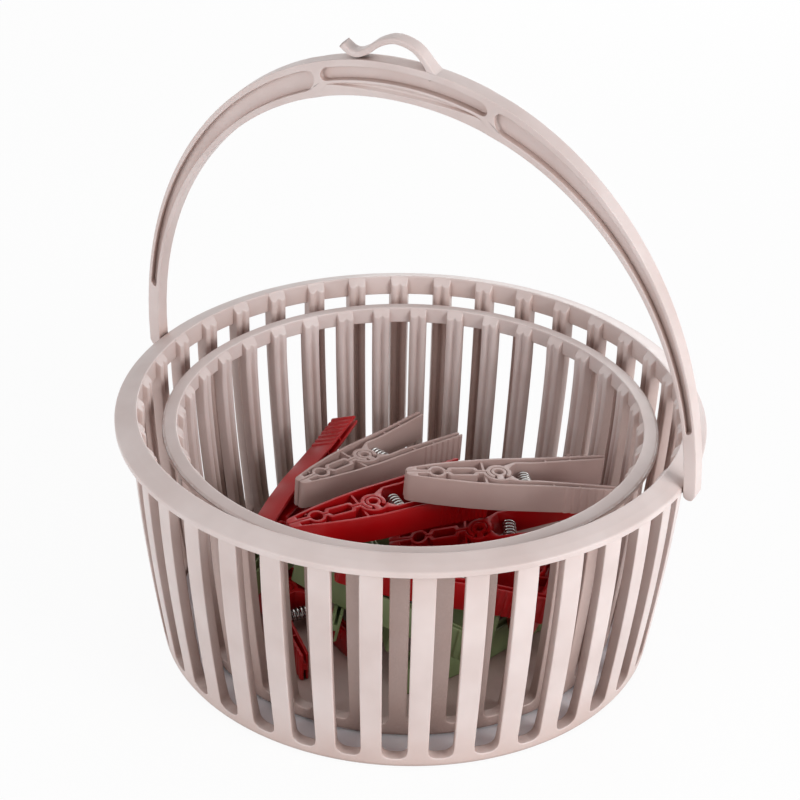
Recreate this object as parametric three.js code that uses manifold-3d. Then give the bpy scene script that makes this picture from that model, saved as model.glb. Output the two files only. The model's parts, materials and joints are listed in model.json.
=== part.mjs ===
// Peg basket: an outer basket, a loose inner basket in it, a bail handle with a clothes-line hook, and pegs.
// Millimetres, +Z up. The origin is the middle of the outer basket's underside. The bail turns about X.
import * as THREE from 'three';
import { mergeVertices } from 'three/addons/utils/BufferGeometryUtils.js';
import Module from 'manifold-3d';

const wasm = await Module();
wasm.setup();

// Outer basket. Radii are from the middle, heights from the underside.
const RIM_IN = 104;
const RIM_EDGE = 2;
const RIM_FLAT = 5;
const RIM_FALL = 1.3;
const RIM_CROWN = 3.6;
const CROWN_DROP = 1.35;
const LIP = 2.5;
const HEIGHT = 100;
const BAND_WALL = 2.6;
const SLAT_DEPTH = 5;
const BASE_R = 97;
const FOOT_ROUND = 2.4;
const FLOOR = 2.6;
const SLOT_TOP = 8.6;
const SLOT_FOOT = 4.6;

// Inner basket, which stands on the outer one's floor
const LINER_RIM_IN = 89.2;
const LINER_RIM_EDGE = 1.6;
const LINER_RIM_FLAT = 4.6;
const LINER_RIM_FALL = 0.55;
const LINER_RIM_CROWN = 1.2;
const LINER_CROWN_DROP = 0.7;
const LINER_LIP = 1.6;
const LINER_HEIGHT = 89.8;
const LINER_BAND_WALL = 2;
const LINER_SLAT_DEPTH = 4.4;
const LINER_BASE_R = 82.6;
const LINER_SLOT_TOP = 6.9;
const LINER_FLOOR = 4.2;
const LINER_SLOT_FOOT = 6.2;

// Both baskets have the same number of slats, and slots that take the same share of the pitch
const SLATS = 36;
const SLOT_SHARE = 0.56;
const SLOT_CORNER = 0.75;
const SLAT_HEAD = 3.4;
const BULGE = 1.6;
const WALL_STEPS = [0.2, 0.5];

// Bail handle. The arch is measured from the pivot, its legs run down outside the rim, and it stands leaning
// a little, towards -Y.
const PIVOT_DROP = 4.6;
const BAIL_LEAN = 4.2;
const LUG_DEPTH = 4.8;
const LUG_BELOW = 2.4;
const ARCH_RISE = 145;
const ARCH_DEPTH = 13.9;
const ARCH_POWER = 2.07;
const LUG_WIDTH = 6;
const GRIP_WIDTH = 6.2;
const POCKET_DEPTH = 1.9;
const FLANGE_SIDE = 1.6;
const FLANGE_TOP = 2.8;
const GRIP_FLANGE = 6;
const RIB_AT = 34.4;
const RIB_HALF = 1.4;
const POCKET_ROUND = 2;
const POCKET_FALL = 0.5;
const POCKET_FOOT_RAD = 0.18;
const SCOOP_DEPTH = 0.9;
const SCOOP_SAG = 2.6;
const SCOOP_BELOW = 1.2;
const PIN_R = 1.4;
const PIN_SHORT = 1;
const BOSS_WALL = 0.9;
const BOSS_GAP = 1.6;

// Line hook on the bail: a strip that rises, bends over the line and comes back down to the bail
const HOOK_ROOT = 15;
const HOOK_PEAK = 3.5;
const HOOK_RISE = 8.1;
const HOOK_TOUCH = 15.6;
const HOOK_TIP = 22;
const HOOK_TIP_RISE = 5.2;
const HOOK_THICK = 2.4;
const HOOK_WIDTH = 5.4;
const HOOK_FOOT = 3;
const HOOK_SINK = 2;

// Pegs. A leg lies along X from the jaw to the tail, and the two legs meet on y = 0.
const PEG_LENGTH = 80;
const PEG_WIDTH = 11.5;
const FULCRUM_AT = 36;
const KNUCKLE_R = 3;
const RING_WALL = 1.6;
const NECK_HALF = 1.3;
const JAW_NOTCH_AT = 12;
const JAW_NOTCH_R = 2.4;
const LONG_NOTCH_GAP = 2.8;
const LONG_NOTCH_DEEP = 1.6;
const LONG_NOTCH_END = 4.3;
const NOSE_ROUND = 1.4;
const NOSE_HIGH = 3;
const BACK_FRONT = 5.9;
const BACK_MID = 8.2;
const TAIL_ROUND = 0.7;
const SEAT_AT = 47;
const SEAT_HALF = 3.5;
const SEAT_Y = 6;
const TAIL_SPREAD = 9.6;
const TAIL_THICK = 3.8;
const RIB_PITCH = 4;
const GRIP_RIBS = 4;
const RIB_STEP = 0.5;
const SQUEEZE_DEG = 16;
const WIRE = 0.9;
const COIL_R = 2.35;
const CURLS = 6;

// Clearances
const STAND_GAP = 0.3;
const LUG_PLAY = 0.4;
const PIN_PLAY = 0.3;
const FULCRUM_PLAY = 0.3;
const JAW_GAP = 0.3;
const SEAT_GAP = 0.3;
const HOOK_GAP = 0.5;
const PILE_GAP = 0.3;
const TOUCH_GAP = 0.6;
const WALL_CLEAR = 3;

const RIM_OUT = RIM_IN + RIM_FLAT + RIM_CROWN;
const PIVOT_Z = HEIGHT - PIVOT_DROP;
const FULL_TURN = 2 * Math.PI;
const PITCH = FULL_TURN / SLATS;
const FLATNESS = 0.01;
const rad = (deg) => (deg * Math.PI) / 180;

// Solids go to the boolean library as bare triangles, and come back as a mesh's geometry.
function toSolid(geometry) {
  const bare = new THREE.BufferGeometry();
  bare.setAttribute('position', geometry.getAttribute('position').clone());
  if (geometry.index) bare.setIndex(geometry.index.clone());
  const welded = mergeVertices(bare, 1e-4);
  const corners = welded.index.array;
  const kept = [];
  for (let i = 0; i < corners.length; i += 3) {
    const [a, b, c] = [corners[i], corners[i + 1], corners[i + 2]];
    if (a !== b && b !== c && c !== a) kept.push(a, b, c);
  }
  const asMesh = (tris) => new wasm.Mesh({
    numProp: 3,
    vertProperties: new Float32Array(welded.getAttribute('position').array),
    triVerts: new Uint32Array(tris),
  });
  const solid = new wasm.Manifold(asMesh(kept));
  if (solid.volume() > 0) return solid;
  const turned = [];
  for (let i = 0; i < kept.length; i += 3) turned.push(kept[i], kept[i + 2], kept[i + 1]);
  return new wasm.Manifold(asMesh(turned));
}

function toGeometry(solid) {
  const mesh = solid.asOriginal().simplify(FLATNESS).getMesh();
  const geometry = new THREE.BufferGeometry();
  geometry.setAttribute('position', new THREE.BufferAttribute(new Float32Array(mesh.vertProperties), 3));
  geometry.setIndex(new THREE.BufferAttribute(new Uint32Array(mesh.triVerts), 1));
  return geometry;
}

function outline(points) {
  return new THREE.Shape(points.map(([x, y]) => new THREE.Vector2(x, y)));
}

function arcPoints(cx, cy, r, fromDeg, toDeg, steps) {
  return Array.from({ length: steps + 1 }, (_, i) => {
    const a = rad(fromDeg + ((toDeg - fromDeg) * i) / steps);
    return [cx + r * Math.cos(a), cy + r * Math.sin(a)];
  });
}

// A flat outline made solid: its own two axes become the named world axes, and its thickness is split
// both ways.
function slab(points, thickness, plane) {
  const geometry = new THREE.ExtrudeGeometry(outline(points), {
    depth: thickness, bevelEnabled: false, steps: 1,
  });
  geometry.translate(0, 0, -thickness / 2);
  const turn = {
    XY: new THREE.Matrix4(),
    XZ: new THREE.Matrix4().makeRotationX(Math.PI / 2),
    YZ: new THREE.Matrix4().makeBasis(new THREE.Vector3(0, 1, 0), new THREE.Vector3(0, 0, 1),
      new THREE.Vector3(1, 0, 0)),
  }[plane];
  return geometry.applyMatrix4(turn);
}

// A profile turned about Z. The facets' edges fall in the slots, so each slat is one flat facet wide.
function revolved(profile, sides) {
  const lathe = new THREE.LatheGeometry(profile.map(([r, z]) => new THREE.Vector2(r, z)), sides);
  return toSolid(lathe.rotateX(Math.PI / 2).rotateZ(PITCH / 2));
}

// A basket's outside radius swells from the base to the band under the rim.
const underRim = (b) => b.height - b.rimFall - b.crownDrop - b.lip;
const outsideR = (b, z) => {
  const share = Math.min(Math.max(z / underRim(b), 0), 1);
  return b.baseR + (b.rimIn + b.bandWall - b.baseR) * (1 - (1 - share) ** BULGE);
};
const insideR = (b, z) => outsideR(b, z) - b.slatDepth;

// Floor and wall in one turn, as deep as the slats, with a slant from the rim's edge to the slats' face
function basketWall(b) {
  const under = underRim(b);
  const top = b.height;
  const proud = b.rimIn - insideR(b, b.height);
  const outside = WALL_STEPS.map((s) => [outsideR(b, s * under), s * under]);
  const inside = WALL_STEPS.map((s) => [insideR(b, s * under), s * under]).reverse();
  return revolved([
    [0, 0], [outsideR(b, 0) - b.footRound, 0], [outsideR(b, b.footRound), b.footRound], ...outside,
    [outsideR(b, under), under], [b.rimIn + b.rimEdge, under + b.lip], [b.rimIn + b.rimEdge, top],
    [b.rimIn, top], [b.rimIn - proud, top - SLAT_HEAD], ...inside, [insideR(b, b.floor), b.floor],
    [0, b.floor],
  ], SLATS);
}

// The flanged rim: flat beside its inner edge, then falling away in two slopes to an upright lip
function basketRim(b) {
  const under = underRim(b);
  const root = b.rimIn + b.bandWall / 2;
  const out = b.rimIn + b.rimFlat + b.rimCrown;
  return revolved([
    [root, under], [out, under], [out, under + b.lip], [b.rimIn + b.rimFlat, b.height - b.rimFall],
    [b.rimIn + b.rimEdge, b.height], [root, b.height], [root, under],
  ], 2 * SLATS);
}

// One slot, seen from outside: it narrows downwards with the wall, and its foot has round corners.
function slotOutline(b, low, high) {
  const half = (z) => outsideR(b, z) * Math.tan((PITCH * SLOT_SHARE) / 2);
  const corner = half(low) * SLOT_CORNER;
  const foot = half(low + corner);
  return [
    [half(high), high],
    ...arcPoints(foot - corner, low + corner, corner, 0, -90, 3),
    ...arcPoints(-foot + corner, low + corner, corner, -90, -180, 3),
    [-half(high), high],
  ];
}

function around(solid, phase) {
  const copies = Array.from({ length: SLATS }, (_, i) => solid.rotate([0, 0, ((i + phase) * 360) / SLATS]));
  return wasm.Manifold.union(copies);
}

function makeBasket(b) {
  const cutFrom = b.baseR / 2;
  const cutTo = b.rimIn + b.rimFlat;
  const slotHigh = b.height - b.slotTop;
  const middle = (cutTo + cutFrom) / 2;
  const radially = (points) => toSolid(slab(points, cutTo - cutFrom, 'YZ')).translate([middle, 0, 0]);
  const slots = around(radially(slotOutline(b, b.slotFoot, slotHigh)), 0.5);
  const half = outsideR(b, slotHigh) * Math.tan((PITCH * SLOT_SHARE) / 2);
  const bandBox = [[half, slotHigh - 1], [half, b.height], [-half, b.height], [-half, slotHigh - 1]];
  const core = revolved([[0, 0], [b.rimIn, 0], [b.rimIn, b.height], [0, b.height]], SLATS);
  const bandCuts = around(radially(bandBox), 0.5).intersect(core);
  return basketWall(b).subtract(slots).subtract(bandCuts).add(basketRim(b));
}

const OUTER = {
  rimIn: RIM_IN, rimEdge: RIM_EDGE, rimFlat: RIM_FLAT, rimFall: RIM_FALL, rimCrown: RIM_CROWN,
  crownDrop: CROWN_DROP, lip: LIP, height: HEIGHT, bandWall: BAND_WALL, slatDepth: SLAT_DEPTH,
  baseR: BASE_R, footRound: FOOT_ROUND, floor: FLOOR, slotTop: SLOT_TOP, slotFoot: SLOT_FOOT,
};
const LINER = {
  rimIn: LINER_RIM_IN, rimEdge: LINER_RIM_EDGE, rimFlat: LINER_RIM_FLAT, rimFall: LINER_RIM_FALL,
  rimCrown: LINER_RIM_CROWN, crownDrop: LINER_CROWN_DROP, lip: LINER_LIP, height: LINER_HEIGHT,
  bandWall: LINER_BAND_WALL, slatDepth: LINER_SLAT_DEPTH, baseR: LINER_BASE_R, footRound: FOOT_ROUND,
  floor: LINER_FLOOR, slotTop: LINER_SLOT_TOP, slotFoot: LINER_SLOT_FOOT,
};
const LINER_Z = FLOOR + STAND_GAP;
const BOWL_R = LINER_BASE_R - LINER_SLAT_DEPTH;

// Round bars along X, for the pivot pins, their bosses and their holes
function barAlongX(r, x0, x1, z) {
  const bar = new THREE.CylinderGeometry(r, r, x1 - x0, 20).rotateZ(Math.PI / 2);
  return toSolid(bar.translate((x0 + x1) / 2, 0, z));
}

function makeOuterBasket() {
  let body = makeBasket(OUTER);
  const inside = insideR(OUTER, PIVOT_Z);
  const bossEnd = RIM_OUT - BOSS_GAP;
  const bossStart = outsideR(OUTER, PIVOT_Z) - SLAT_DEPTH / 2;
  for (const side of [0, 180]) {
    const boss = barAlongX(PIN_R + PIN_PLAY + BOSS_WALL, bossStart, bossEnd, PIVOT_Z);
    const hole = barAlongX(PIN_R + PIN_PLAY, inside - SLAT_DEPTH, RIM_OUT + SLAT_DEPTH, PIVOT_Z);
    body = body.add(boss.rotate([0, 0, side])).subtract(hole.rotate([0, 0, side]));
  }
  return body;
}

// The bail's outer and inner curves are rounded arches that stand on the pivot's level.
const ARCH_IN = RIM_OUT + LUG_PLAY;
const archPoint = (a, b, t) => {
  const share = 2 / ARCH_POWER;
  return [a * Math.sign(Math.cos(t)) * Math.abs(Math.cos(t)) ** share, PIVOT_Z + b * Math.sin(t) ** share];
};
const archCurve = (a, b, t0, t1, steps) => Array.from({ length: steps + 1 },
  (_, i) => archPoint(a, b, t0 + ((t1 - t0) * i) / steps));
const archAngle = (a, x) => Math.acos(Math.sign(x) * (Math.abs(x) / a) ** (ARCH_POWER / 2));
const archHeight = (a, b, x) => archPoint(a, b, archAngle(a, x))[1];

function bailOutline() {
  const middle = ARCH_IN + LUG_DEPTH / 2;
  const low = PIVOT_Z - LUG_BELOW + LUG_DEPTH / 2;
  const rightEnd = arcPoints(middle, low, LUG_DEPTH / 2, -180, 0, 5);
  const leftEnd = arcPoints(-middle, low, LUG_DEPTH / 2, -180, 0, 5);
  return [
    ...rightEnd,
    ...archCurve(ARCH_IN + LUG_DEPTH, ARCH_RISE, 0, Math.PI, 30),
    ...leftEnd,
    ...archCurve(ARCH_IN, ARCH_RISE - ARCH_DEPTH, Math.PI, 0, 30),
  ];
}

// The space between two arches from one place along the bail to another, with round corners at both ends
function pocketOutline(outA, outB, inA, inB, x0, x1, steps) {
  const top = (x) => archAngle(outA, x);
  const low = (x) => archAngle(inA, x);
  const from = x0 + Math.sign(x1 - x0) * POCKET_ROUND;
  const to = x1 - Math.sign(x1 - x0) * POCKET_ROUND;
  const end = (x) => [
    [x, archHeight(outA, outB, x) - POCKET_ROUND - POCKET_FALL],
    [x, archHeight(inA, inB, x) + POCKET_ROUND - POCKET_FALL],
  ];
  return [
    ...archCurve(outA, outB, top(from), top(to), steps), ...end(x1),
    ...archCurve(inA, inB, low(to), low(from), steps), ...end(x0).reverse(),
  ];
}

// The pocket in a leg starts beside the rib like the others, and runs out to a point above the pivot.
function sidePocket() {
  const outA = ARCH_IN + LUG_DEPTH - FLANGE_SIDE;
  const inA = ARCH_IN + FLANGE_SIDE;
  const outB = ARCH_RISE - FLANGE_TOP;
  const inB = ARCH_RISE - ARCH_DEPTH + FLANGE_TOP;
  const start = RIB_AT + RIB_HALF;
  return [
    ...archCurve(outA, outB, archAngle(outA, start + POCKET_ROUND), POCKET_FOOT_RAD, 11),
    ...archCurve(inA, inB, POCKET_FOOT_RAD, archAngle(inA, start + POCKET_ROUND), 11),
    [start, archHeight(inA, inB, start) + POCKET_ROUND],
    [start, archHeight(outA, outB, start) - POCKET_ROUND - POCKET_FALL],
  ];
}

function makeBail() {
  const halfAt = (inset) => [
    [LUG_WIDTH / 2 - inset, 0], [LUG_WIDTH / 2 - inset, PIVOT_Z],
    [GRIP_WIDTH / 2 - inset, PIVOT_Z + ARCH_RISE], [GRIP_WIDTH / 2 - inset, PIVOT_Z + 2 * ARCH_RISE],
  ];
  const taper = (inset) => {
    const right = halfAt(inset);
    const left = right.map(([y, z]) => [-y, z]).reverse();
    return toSolid(slab([...right, ...left], 4 * ARCH_IN, 'YZ'));
  };
  const wide = 2 * GRIP_WIDTH;
  const across = (points) => toSolid(slab(points, wide, 'XZ'));
  const right = across(sidePocket());
  const left = right.mirror([1, 0, 0]);
  const middle = across(pocketOutline(
    ARCH_IN + LUG_DEPTH - FLANGE_SIDE, ARCH_RISE - FLANGE_TOP, ARCH_IN + FLANGE_SIDE,
    ARCH_RISE - ARCH_DEPTH + GRIP_FLANGE, -RIB_AT + RIB_HALF, RIB_AT - RIB_HALF, 10));
  const pockets = wasm.Manifold.union([right, left, middle]).subtract(taper(POCKET_DEPTH));
  const scoopEnd = RIB_AT - 2 * RIB_HALF;
  const scoopA = ARCH_IN + FLANGE_SIDE;
  const scoopB = ARCH_RISE - ARCH_DEPTH + GRIP_FLANGE - SCOOP_BELOW;
  const scoopTop = archCurve(scoopA, scoopB, archAngle(scoopA, scoopEnd), archAngle(scoopA, -scoopEnd), 8);
  const scoopLow = Array.from({ length: 7 }, (_, i) => {
    const x = -scoopEnd + (2 * scoopEnd * (i + 1)) / 8;
    return [x, archHeight(scoopA, scoopB, x) - SCOOP_SAG * (1 - (x / scoopEnd) ** 2)];
  });
  const scoop = across([...scoopTop, ...scoopLow]).subtract(taper(SCOOP_DEPTH));
  const pinEnd = insideR(OUTER, PIVOT_Z) + PIN_SHORT;
  const pin = barAlongX(PIN_R, pinEnd, ARCH_IN + LUG_DEPTH / 2, PIVOT_Z);
  const upright = across(bailOutline()).intersect(taper(0)).subtract(pockets).subtract(scoop)
    .add(pin).add(pin.mirror([1, 0, 0])).add(makeHook());
  return upright.translate([0, 0, -PIVOT_Z]).rotate([BAIL_LEAN, 0, 0]).translate([0, 0, PIVOT_Z]);
}

// The hook is a strip of even thickness about a smooth line, seen from the side.
function makeHook() {
  const topAt = (x) => archHeight(ARCH_IN + LUG_DEPTH, ARCH_RISE, x);
  const touch = HOOK_GAP + HOOK_THICK / 2;
  const rising = (HOOK_ROOT - HOOK_PEAK) / 2;
  const falling = -(HOOK_PEAK + HOOK_TOUCH) / 2;
  const line = new THREE.CatmullRomCurve3([
    [HOOK_ROOT + HOOK_FOOT, topAt(HOOK_ROOT + HOOK_FOOT) - HOOK_SINK],
    [HOOK_ROOT - HOOK_SINK, topAt(HOOK_ROOT) + HOOK_THICK],
    [rising, topAt(rising) + HOOK_RISE * 0.84],
    [-HOOK_PEAK, topAt(-HOOK_PEAK) + HOOK_RISE],
    [falling, topAt(falling) + HOOK_RISE * 0.64],
    [-HOOK_TOUCH, topAt(-HOOK_TOUCH) + touch],
    [-HOOK_TIP, topAt(-HOOK_TIP) + HOOK_TIP_RISE],
  ].map(([x, z]) => new THREE.Vector3(x, 0, z)));
  const stations = Array.from({ length: 19 }, (_, i) => i / 18);
  const side = (sign) => stations.map((s) => {
    const p = line.getPointAt(s);
    const t = line.getTangentAt(s);
    return [p.x - sign * t.z * HOOK_THICK / 2, p.z + sign * t.x * HOOK_THICK / 2];
  });
  return toSolid(slab([...side(1), ...side(-1).reverse()], HOOK_WIDTH, 'XZ'));
}

// The tail's outer face, from the end to where the grip ribs stop, as saw teeth
function gripTeeth() {
  const end = PEG_LENGTH - TAIL_ROUND;
  const high = TAIL_SPREAD + TAIL_THICK;
  const slope = (TAIL_SPREAD - SEAT_Y) / (PEG_LENGTH - SEAT_AT);
  const teeth = [];
  for (let i = 0; i < GRIP_RIBS; i += 1) {
    const x = end - i * RIB_PITCH;
    teeth.push([x, high - slope * (end - x)]);
    teeth.push([x - RIB_PITCH + RIB_STEP, high - slope * (end - x + RIB_PITCH) - RIB_STEP]);
  }
  return teeth;
}

// The jaw's inner edge, from the tip to the fulcrum: a round notch for the line and a long one behind it
function jawEdge(endX) {
  const y = JAW_GAP / 2;
  const long0 = JAW_NOTCH_AT + JAW_NOTCH_R + LONG_NOTCH_GAP;
  const long1 = FULCRUM_AT - KNUCKLE_R - FULCRUM_PLAY - RING_WALL - LONG_NOTCH_END;
  const deep = y + LONG_NOTCH_DEEP;
  return [
    [0, y],
    ...arcPoints(JAW_NOTCH_AT, y, JAW_NOTCH_R, 180, 0, 3),
    [long0, y], [long0 + TAIL_ROUND, deep], [long1 - TAIL_ROUND, deep], [long1, y], [endX, y],
  ];
}

// The rest of a leg's outline, from the spring seat round the tail and back to the jaw's nose
function tailAndBack() {
  const full = TAIL_SPREAD + TAIL_THICK;
  const neckX = FULCRUM_AT + KNUCKLE_R + FULCRUM_PLAY + RING_WALL + 1;
  return [
    [neckX, SEAT_Y * 0.7], [SEAT_AT - SEAT_HALF, SEAT_Y], [SEAT_AT + SEAT_HALF, SEAT_Y],
    [PEG_LENGTH - TAIL_ROUND, TAIL_SPREAD], [PEG_LENGTH, TAIL_SPREAD + TAIL_ROUND],
    [PEG_LENGTH, full - TAIL_ROUND],
    ...gripTeeth(),
    [SEAT_AT + SEAT_HALF, SEAT_Y + TAIL_THICK + TAIL_ROUND], [FULCRUM_AT, SEAT_Y + TAIL_THICK],
    [FULCRUM_AT * 0.66, BACK_MID], [FULCRUM_AT / 3, BACK_FRONT], [NOSE_ROUND, NOSE_HIGH], [0, NOSE_ROUND],
  ];
}

// The ring leg is above y = 0: its open ring takes the knuckle, and the gap in it lets the neck swing.
function ringLegOutline() {
  const inR = KNUCKLE_R + FULCRUM_PLAY;
  const outR = inR + RING_WALL;
  const swing = (Math.asin(NECK_HALF / inR) * 180) / Math.PI + 8;
  const left = 270 - swing;
  const right = SQUEEZE_DEG - 90 + swing;
  return [
    ...jawEdge(FULCRUM_AT - outR + 0.05),
    ...arcPoints(FULCRUM_AT, 0, outR, 190, left, 3),
    ...arcPoints(FULCRUM_AT, 0, inR, left, right, 9),
    ...arcPoints(FULCRUM_AT, 0, outR, right, 25, 3),
    ...tailAndBack(),
  ];
}

// The knuckle leg is drawn above y = 0 too and turned over at the end, knuckle and neck with it.
function knuckleLegOutline() {
  const clearR = KNUCKLE_R + RING_WALL + 2 * FULCRUM_PLAY;
  const neckDeg = (Math.asin(NECK_HALF / clearR) * 180) / Math.PI;
  const diskDeg = (Math.asin(NECK_HALF / KNUCKLE_R) * 180) / Math.PI;
  return [
    ...jawEdge(FULCRUM_AT - clearR - 0.05),
    ...arcPoints(FULCRUM_AT, 0, clearR, 176, 90 + neckDeg, 4),
    ...arcPoints(FULCRUM_AT, 0, KNUCKLE_R, 90 + diskDeg, 450 - diskDeg, 8),
    ...arcPoints(FULCRUM_AT, 0, clearR, 90 - neckDeg, 30, 3),
    ...tailAndBack(),
  ].map(([x, y]) => [x, -y]).reverse();
}

class Coil extends THREE.Curve {
  constructor(low, high) {
    super();
    this.low = low;
    this.high = high;
  }

  getPoint(t, target = new THREE.Vector3()) {
    const a = t * CURLS * FULL_TURN;
    const y = this.low + (this.high - this.low) * t;
    return target.set(SEAT_AT + COIL_R * Math.cos(a), y, COIL_R * Math.sin(a));
  }
}

const COIL_END = SEAT_Y - SEAT_GAP - WIRE / 2;

function makeSpring() {
  const wire = outline(arcPoints(0, 0, WIRE / 2, 0, 270, 3));
  const steps = CURLS * 8;
  return new THREE.ExtrudeGeometry(wire, {
    steps, extrudePath: new Coil(-COIL_END, COIL_END), bevelEnabled: false,
  });
}

// The wire's least gap to itself, between points of its middle line that are half a curl or more apart
function coilSelfGap() {
  const perCurl = 24;
  const points = new Coil(-COIL_END, COIL_END).getPoints(perCurl * CURLS);
  let least = Infinity;
  for (let i = 0; i < points.length; i += 1) {
    for (let k = i + perCurl / 2; k < points.length; k += 1) {
      least = Math.min(least, points[i].distanceTo(points[k]));
    }
  }
  return least - WIRE;
}
console.log(`spring wire, least gap to itself ${coilSelfGap().toFixed(2)} mm`);

const RING_LEG = slab(ringLegOutline(), PEG_WIDTH, 'XY');
const KNUCKLE_LEG = slab(knuckleLegOutline(), PEG_WIDTH, 'XY');
const SPRING = makeSpring();
const openedLeg = (deg) => KNUCKLE_LEG.clone().translate(-FULCRUM_AT, 0, 0).rotateZ(rad(deg))
  .translate(FULCRUM_AT, 0, 0);
const PEG_SWEEP = [RING_LEG, KNUCKLE_LEG, openedLeg(SQUEEZE_DEG / 2), openedLeg(SQUEEZE_DEG)];
const AT_REST = wasm.Manifold.union([RING_LEG, KNUCKLE_LEG].map(toSolid));
const SQUEEZED = wasm.Manifold.union(PEG_SWEEP.map(toSolid));

// How a peg lies: heading from jaw to tail, roll about its length (0 is on its side), pitch with the tail up
function pegTurn(heading, roll, pitch) {
  return new THREE.Matrix4().makeRotationZ(rad(heading))
    .multiply(new THREE.Matrix4().makeRotationY(rad(-pitch)))
    .multiply(new THREE.Matrix4().makeRotationX(rad(roll)))
    .multiply(new THREE.Matrix4().makeTranslation(-PEG_LENGTH / 2, 0, 0));
}

// The pile is settled on a grid of heights. It starts as the liner's bowl, and each peg that rests raises it.
const CELL = 1.5;
const GRID = Math.ceil(LINER_RIM_IN / CELL) + 2;
const SIDE = 2 * GRID + 1;

function bowlHeight(r) {
  const floor = LINER_Z + LINER_FLOOR;
  for (let z = LINER_FLOOR; z <= LINER_HEIGHT; z += 0.5) {
    if (insideR(LINER, z) - WALL_CLEAR >= r) return LINER_Z + z > floor ? LINER_Z + z : floor;
  }
  return Infinity;
}

const ground = new Float64Array(SIDE * SIDE);
for (let row = 0; row < SIDE; row += 1) {
  for (let col = 0; col < SIDE; col += 1) {
    ground[row * SIDE + col] = bowlHeight(Math.hypot(col - GRID, row - GRID) * CELL);
  }
}

// Every cell that some solids lie over, with the level of the face there
function overCells(solids, matrix, visit) {
  const corner = [new THREE.Vector3(), new THREE.Vector3(), new THREE.Vector3()];
  for (const solid of solids) {
    const position = solid.getAttribute('position');
    for (let i = 0; i < position.count; i += 3) {
      corner.forEach((v, k) => {
        v.fromBufferAttribute(position, i + k).applyMatrix4(matrix);
        v.set(v.x / CELL + GRID, v.y / CELL + GRID, v.z);
        visit(Math.round(v.x), Math.round(v.y), v.z);
      });
      const [a, b, c] = corner;
      const area = (b.x - a.x) * (c.y - a.y) - (c.x - a.x) * (b.y - a.y);
      if (Math.abs(area) < 1e-6) continue;
      for (let row = Math.ceil(Math.min(a.y, b.y, c.y)); row <= Math.max(a.y, b.y, c.y); row += 1) {
        for (let col = Math.ceil(Math.min(a.x, b.x, c.x)); col <= Math.max(a.x, b.x, c.x); col += 1) {
          const v = ((col - a.x) * (c.y - a.y) - (c.x - a.x) * (row - a.y)) / area;
          const w = ((b.x - a.x) * (row - a.y) - (col - a.x) * (b.y - a.y)) / area;
          if (v >= 0 && w >= 0 && v + w <= 1) visit(col, row, a.z + v * (b.z - a.z) + w * (c.z - a.z));
        }
      }
    }
  }
}

function heightAt(col, row) {
  const inGrid = col >= 0 && row >= 0 && col < SIDE && row < SIDE;
  return inGrid ? ground[row * SIDE + col] : Infinity;
}

const spread = (middle, most, step) => {
  const tries = [middle];
  for (let d = step; d <= most; d += step) tries.push(middle - d, middle + d);
  return tries;
};

// What the pile rests on so far, each as it lies and with all the room that it needs when squeezed
const LINER_SOLID = makeBasket(LINER).translate([0, 0, LINER_Z]);
const rested = [{ lying: LINER_SOLID, squeezed: LINER_SOLID }];

// From just above its place on the grid, a peg comes down by its clear gap until it all but touches.
function comeDown(matrix) {
  let down = 0;
  let gap = Infinity;
  let peg;
  while (gap > PILE_GAP + FLATNESS) {
    const lower = new THREE.Matrix4().makeTranslation(0, 0, -down).multiply(matrix);
    peg = { lying: AT_REST.transform(lower.elements), squeezed: SQUEEZED.transform(lower.elements), lower };
    gap = Math.min(...rested.map((other) => Math.min(
      peg.squeezed.minGap(other.lying, CELL), peg.lying.minGap(other.squeezed, CELL))));
    down += gap - PILE_GAP;
  }
  peg.touch = Math.min(...rested.map((other) => peg.lying.minGap(other.lying, CELL)));
  return peg;
}

// The places about a drop where a peg can lie, lowest first. Out at the wall it slides in until it fits.
function restsNear({ at, heading, roll, pitch, shuffle, turn, tilt }) {
  const rests = [];
  const attempt = (px, py, h, q, p) => {
    const matrix = new THREE.Matrix4().makeTranslation(px, py, 0).multiply(pegTurn(h, q, p));
    let z = -Infinity;
    overCells(PEG_SWEEP, matrix, (col, row, level) => { z = Math.max(z, heightAt(col, row) - level); });
    if (z < Infinity) rests.push({ z, matrix });
  };
  for (let out = BOWL_R; out > 0 && rests.length === 0; out -= BOWL_R / 10) {
    for (const px of spread(at[0] * out, shuffle, SHUFFLE)) {
      for (const py of spread(at[1] * out, shuffle, SHUFFLE)) {
        for (const h of spread(heading, turn, 10)) {
          for (const q of spread(roll, tilt, 6)) {
            for (const p of spread(pitch, tilt, 4)) attempt(px, py, h, q, p);
          }
        }
      }
    }
  }
  return rests.sort((one, other) => one.z - other.z);
}

// A dropped peg takes the lowest rest where it touches the pile. One laid by hand that finds none is loosed.
function settle(drop) {
  let peg;
  for (const way of [drop, { ...drop, ...LOOSE }]) {
    for (const { z, matrix } of restsNear(way)) {
      const rest = comeDown(new THREE.Matrix4().makeTranslation(0, 0, z + CELL).multiply(matrix));
      if (!peg || rest.touch < peg.touch) peg = rest;
      if (peg.touch < TOUCH_GAP) break;
    }
    if (peg && peg.touch < TOUCH_GAP) break;
  }
  rested.push(peg);
  overCells(PEG_SWEEP, peg.lower, (col, row, level) => {
    for (let near = 0; near < 9; near += 1) {
      const cell = (row + Math.floor(near / 3) - 1) * SIDE + col + (near % 3) - 1;
      ground[cell] = Math.max(ground[cell], level);
    }
  });
  return peg.lower;
}

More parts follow.
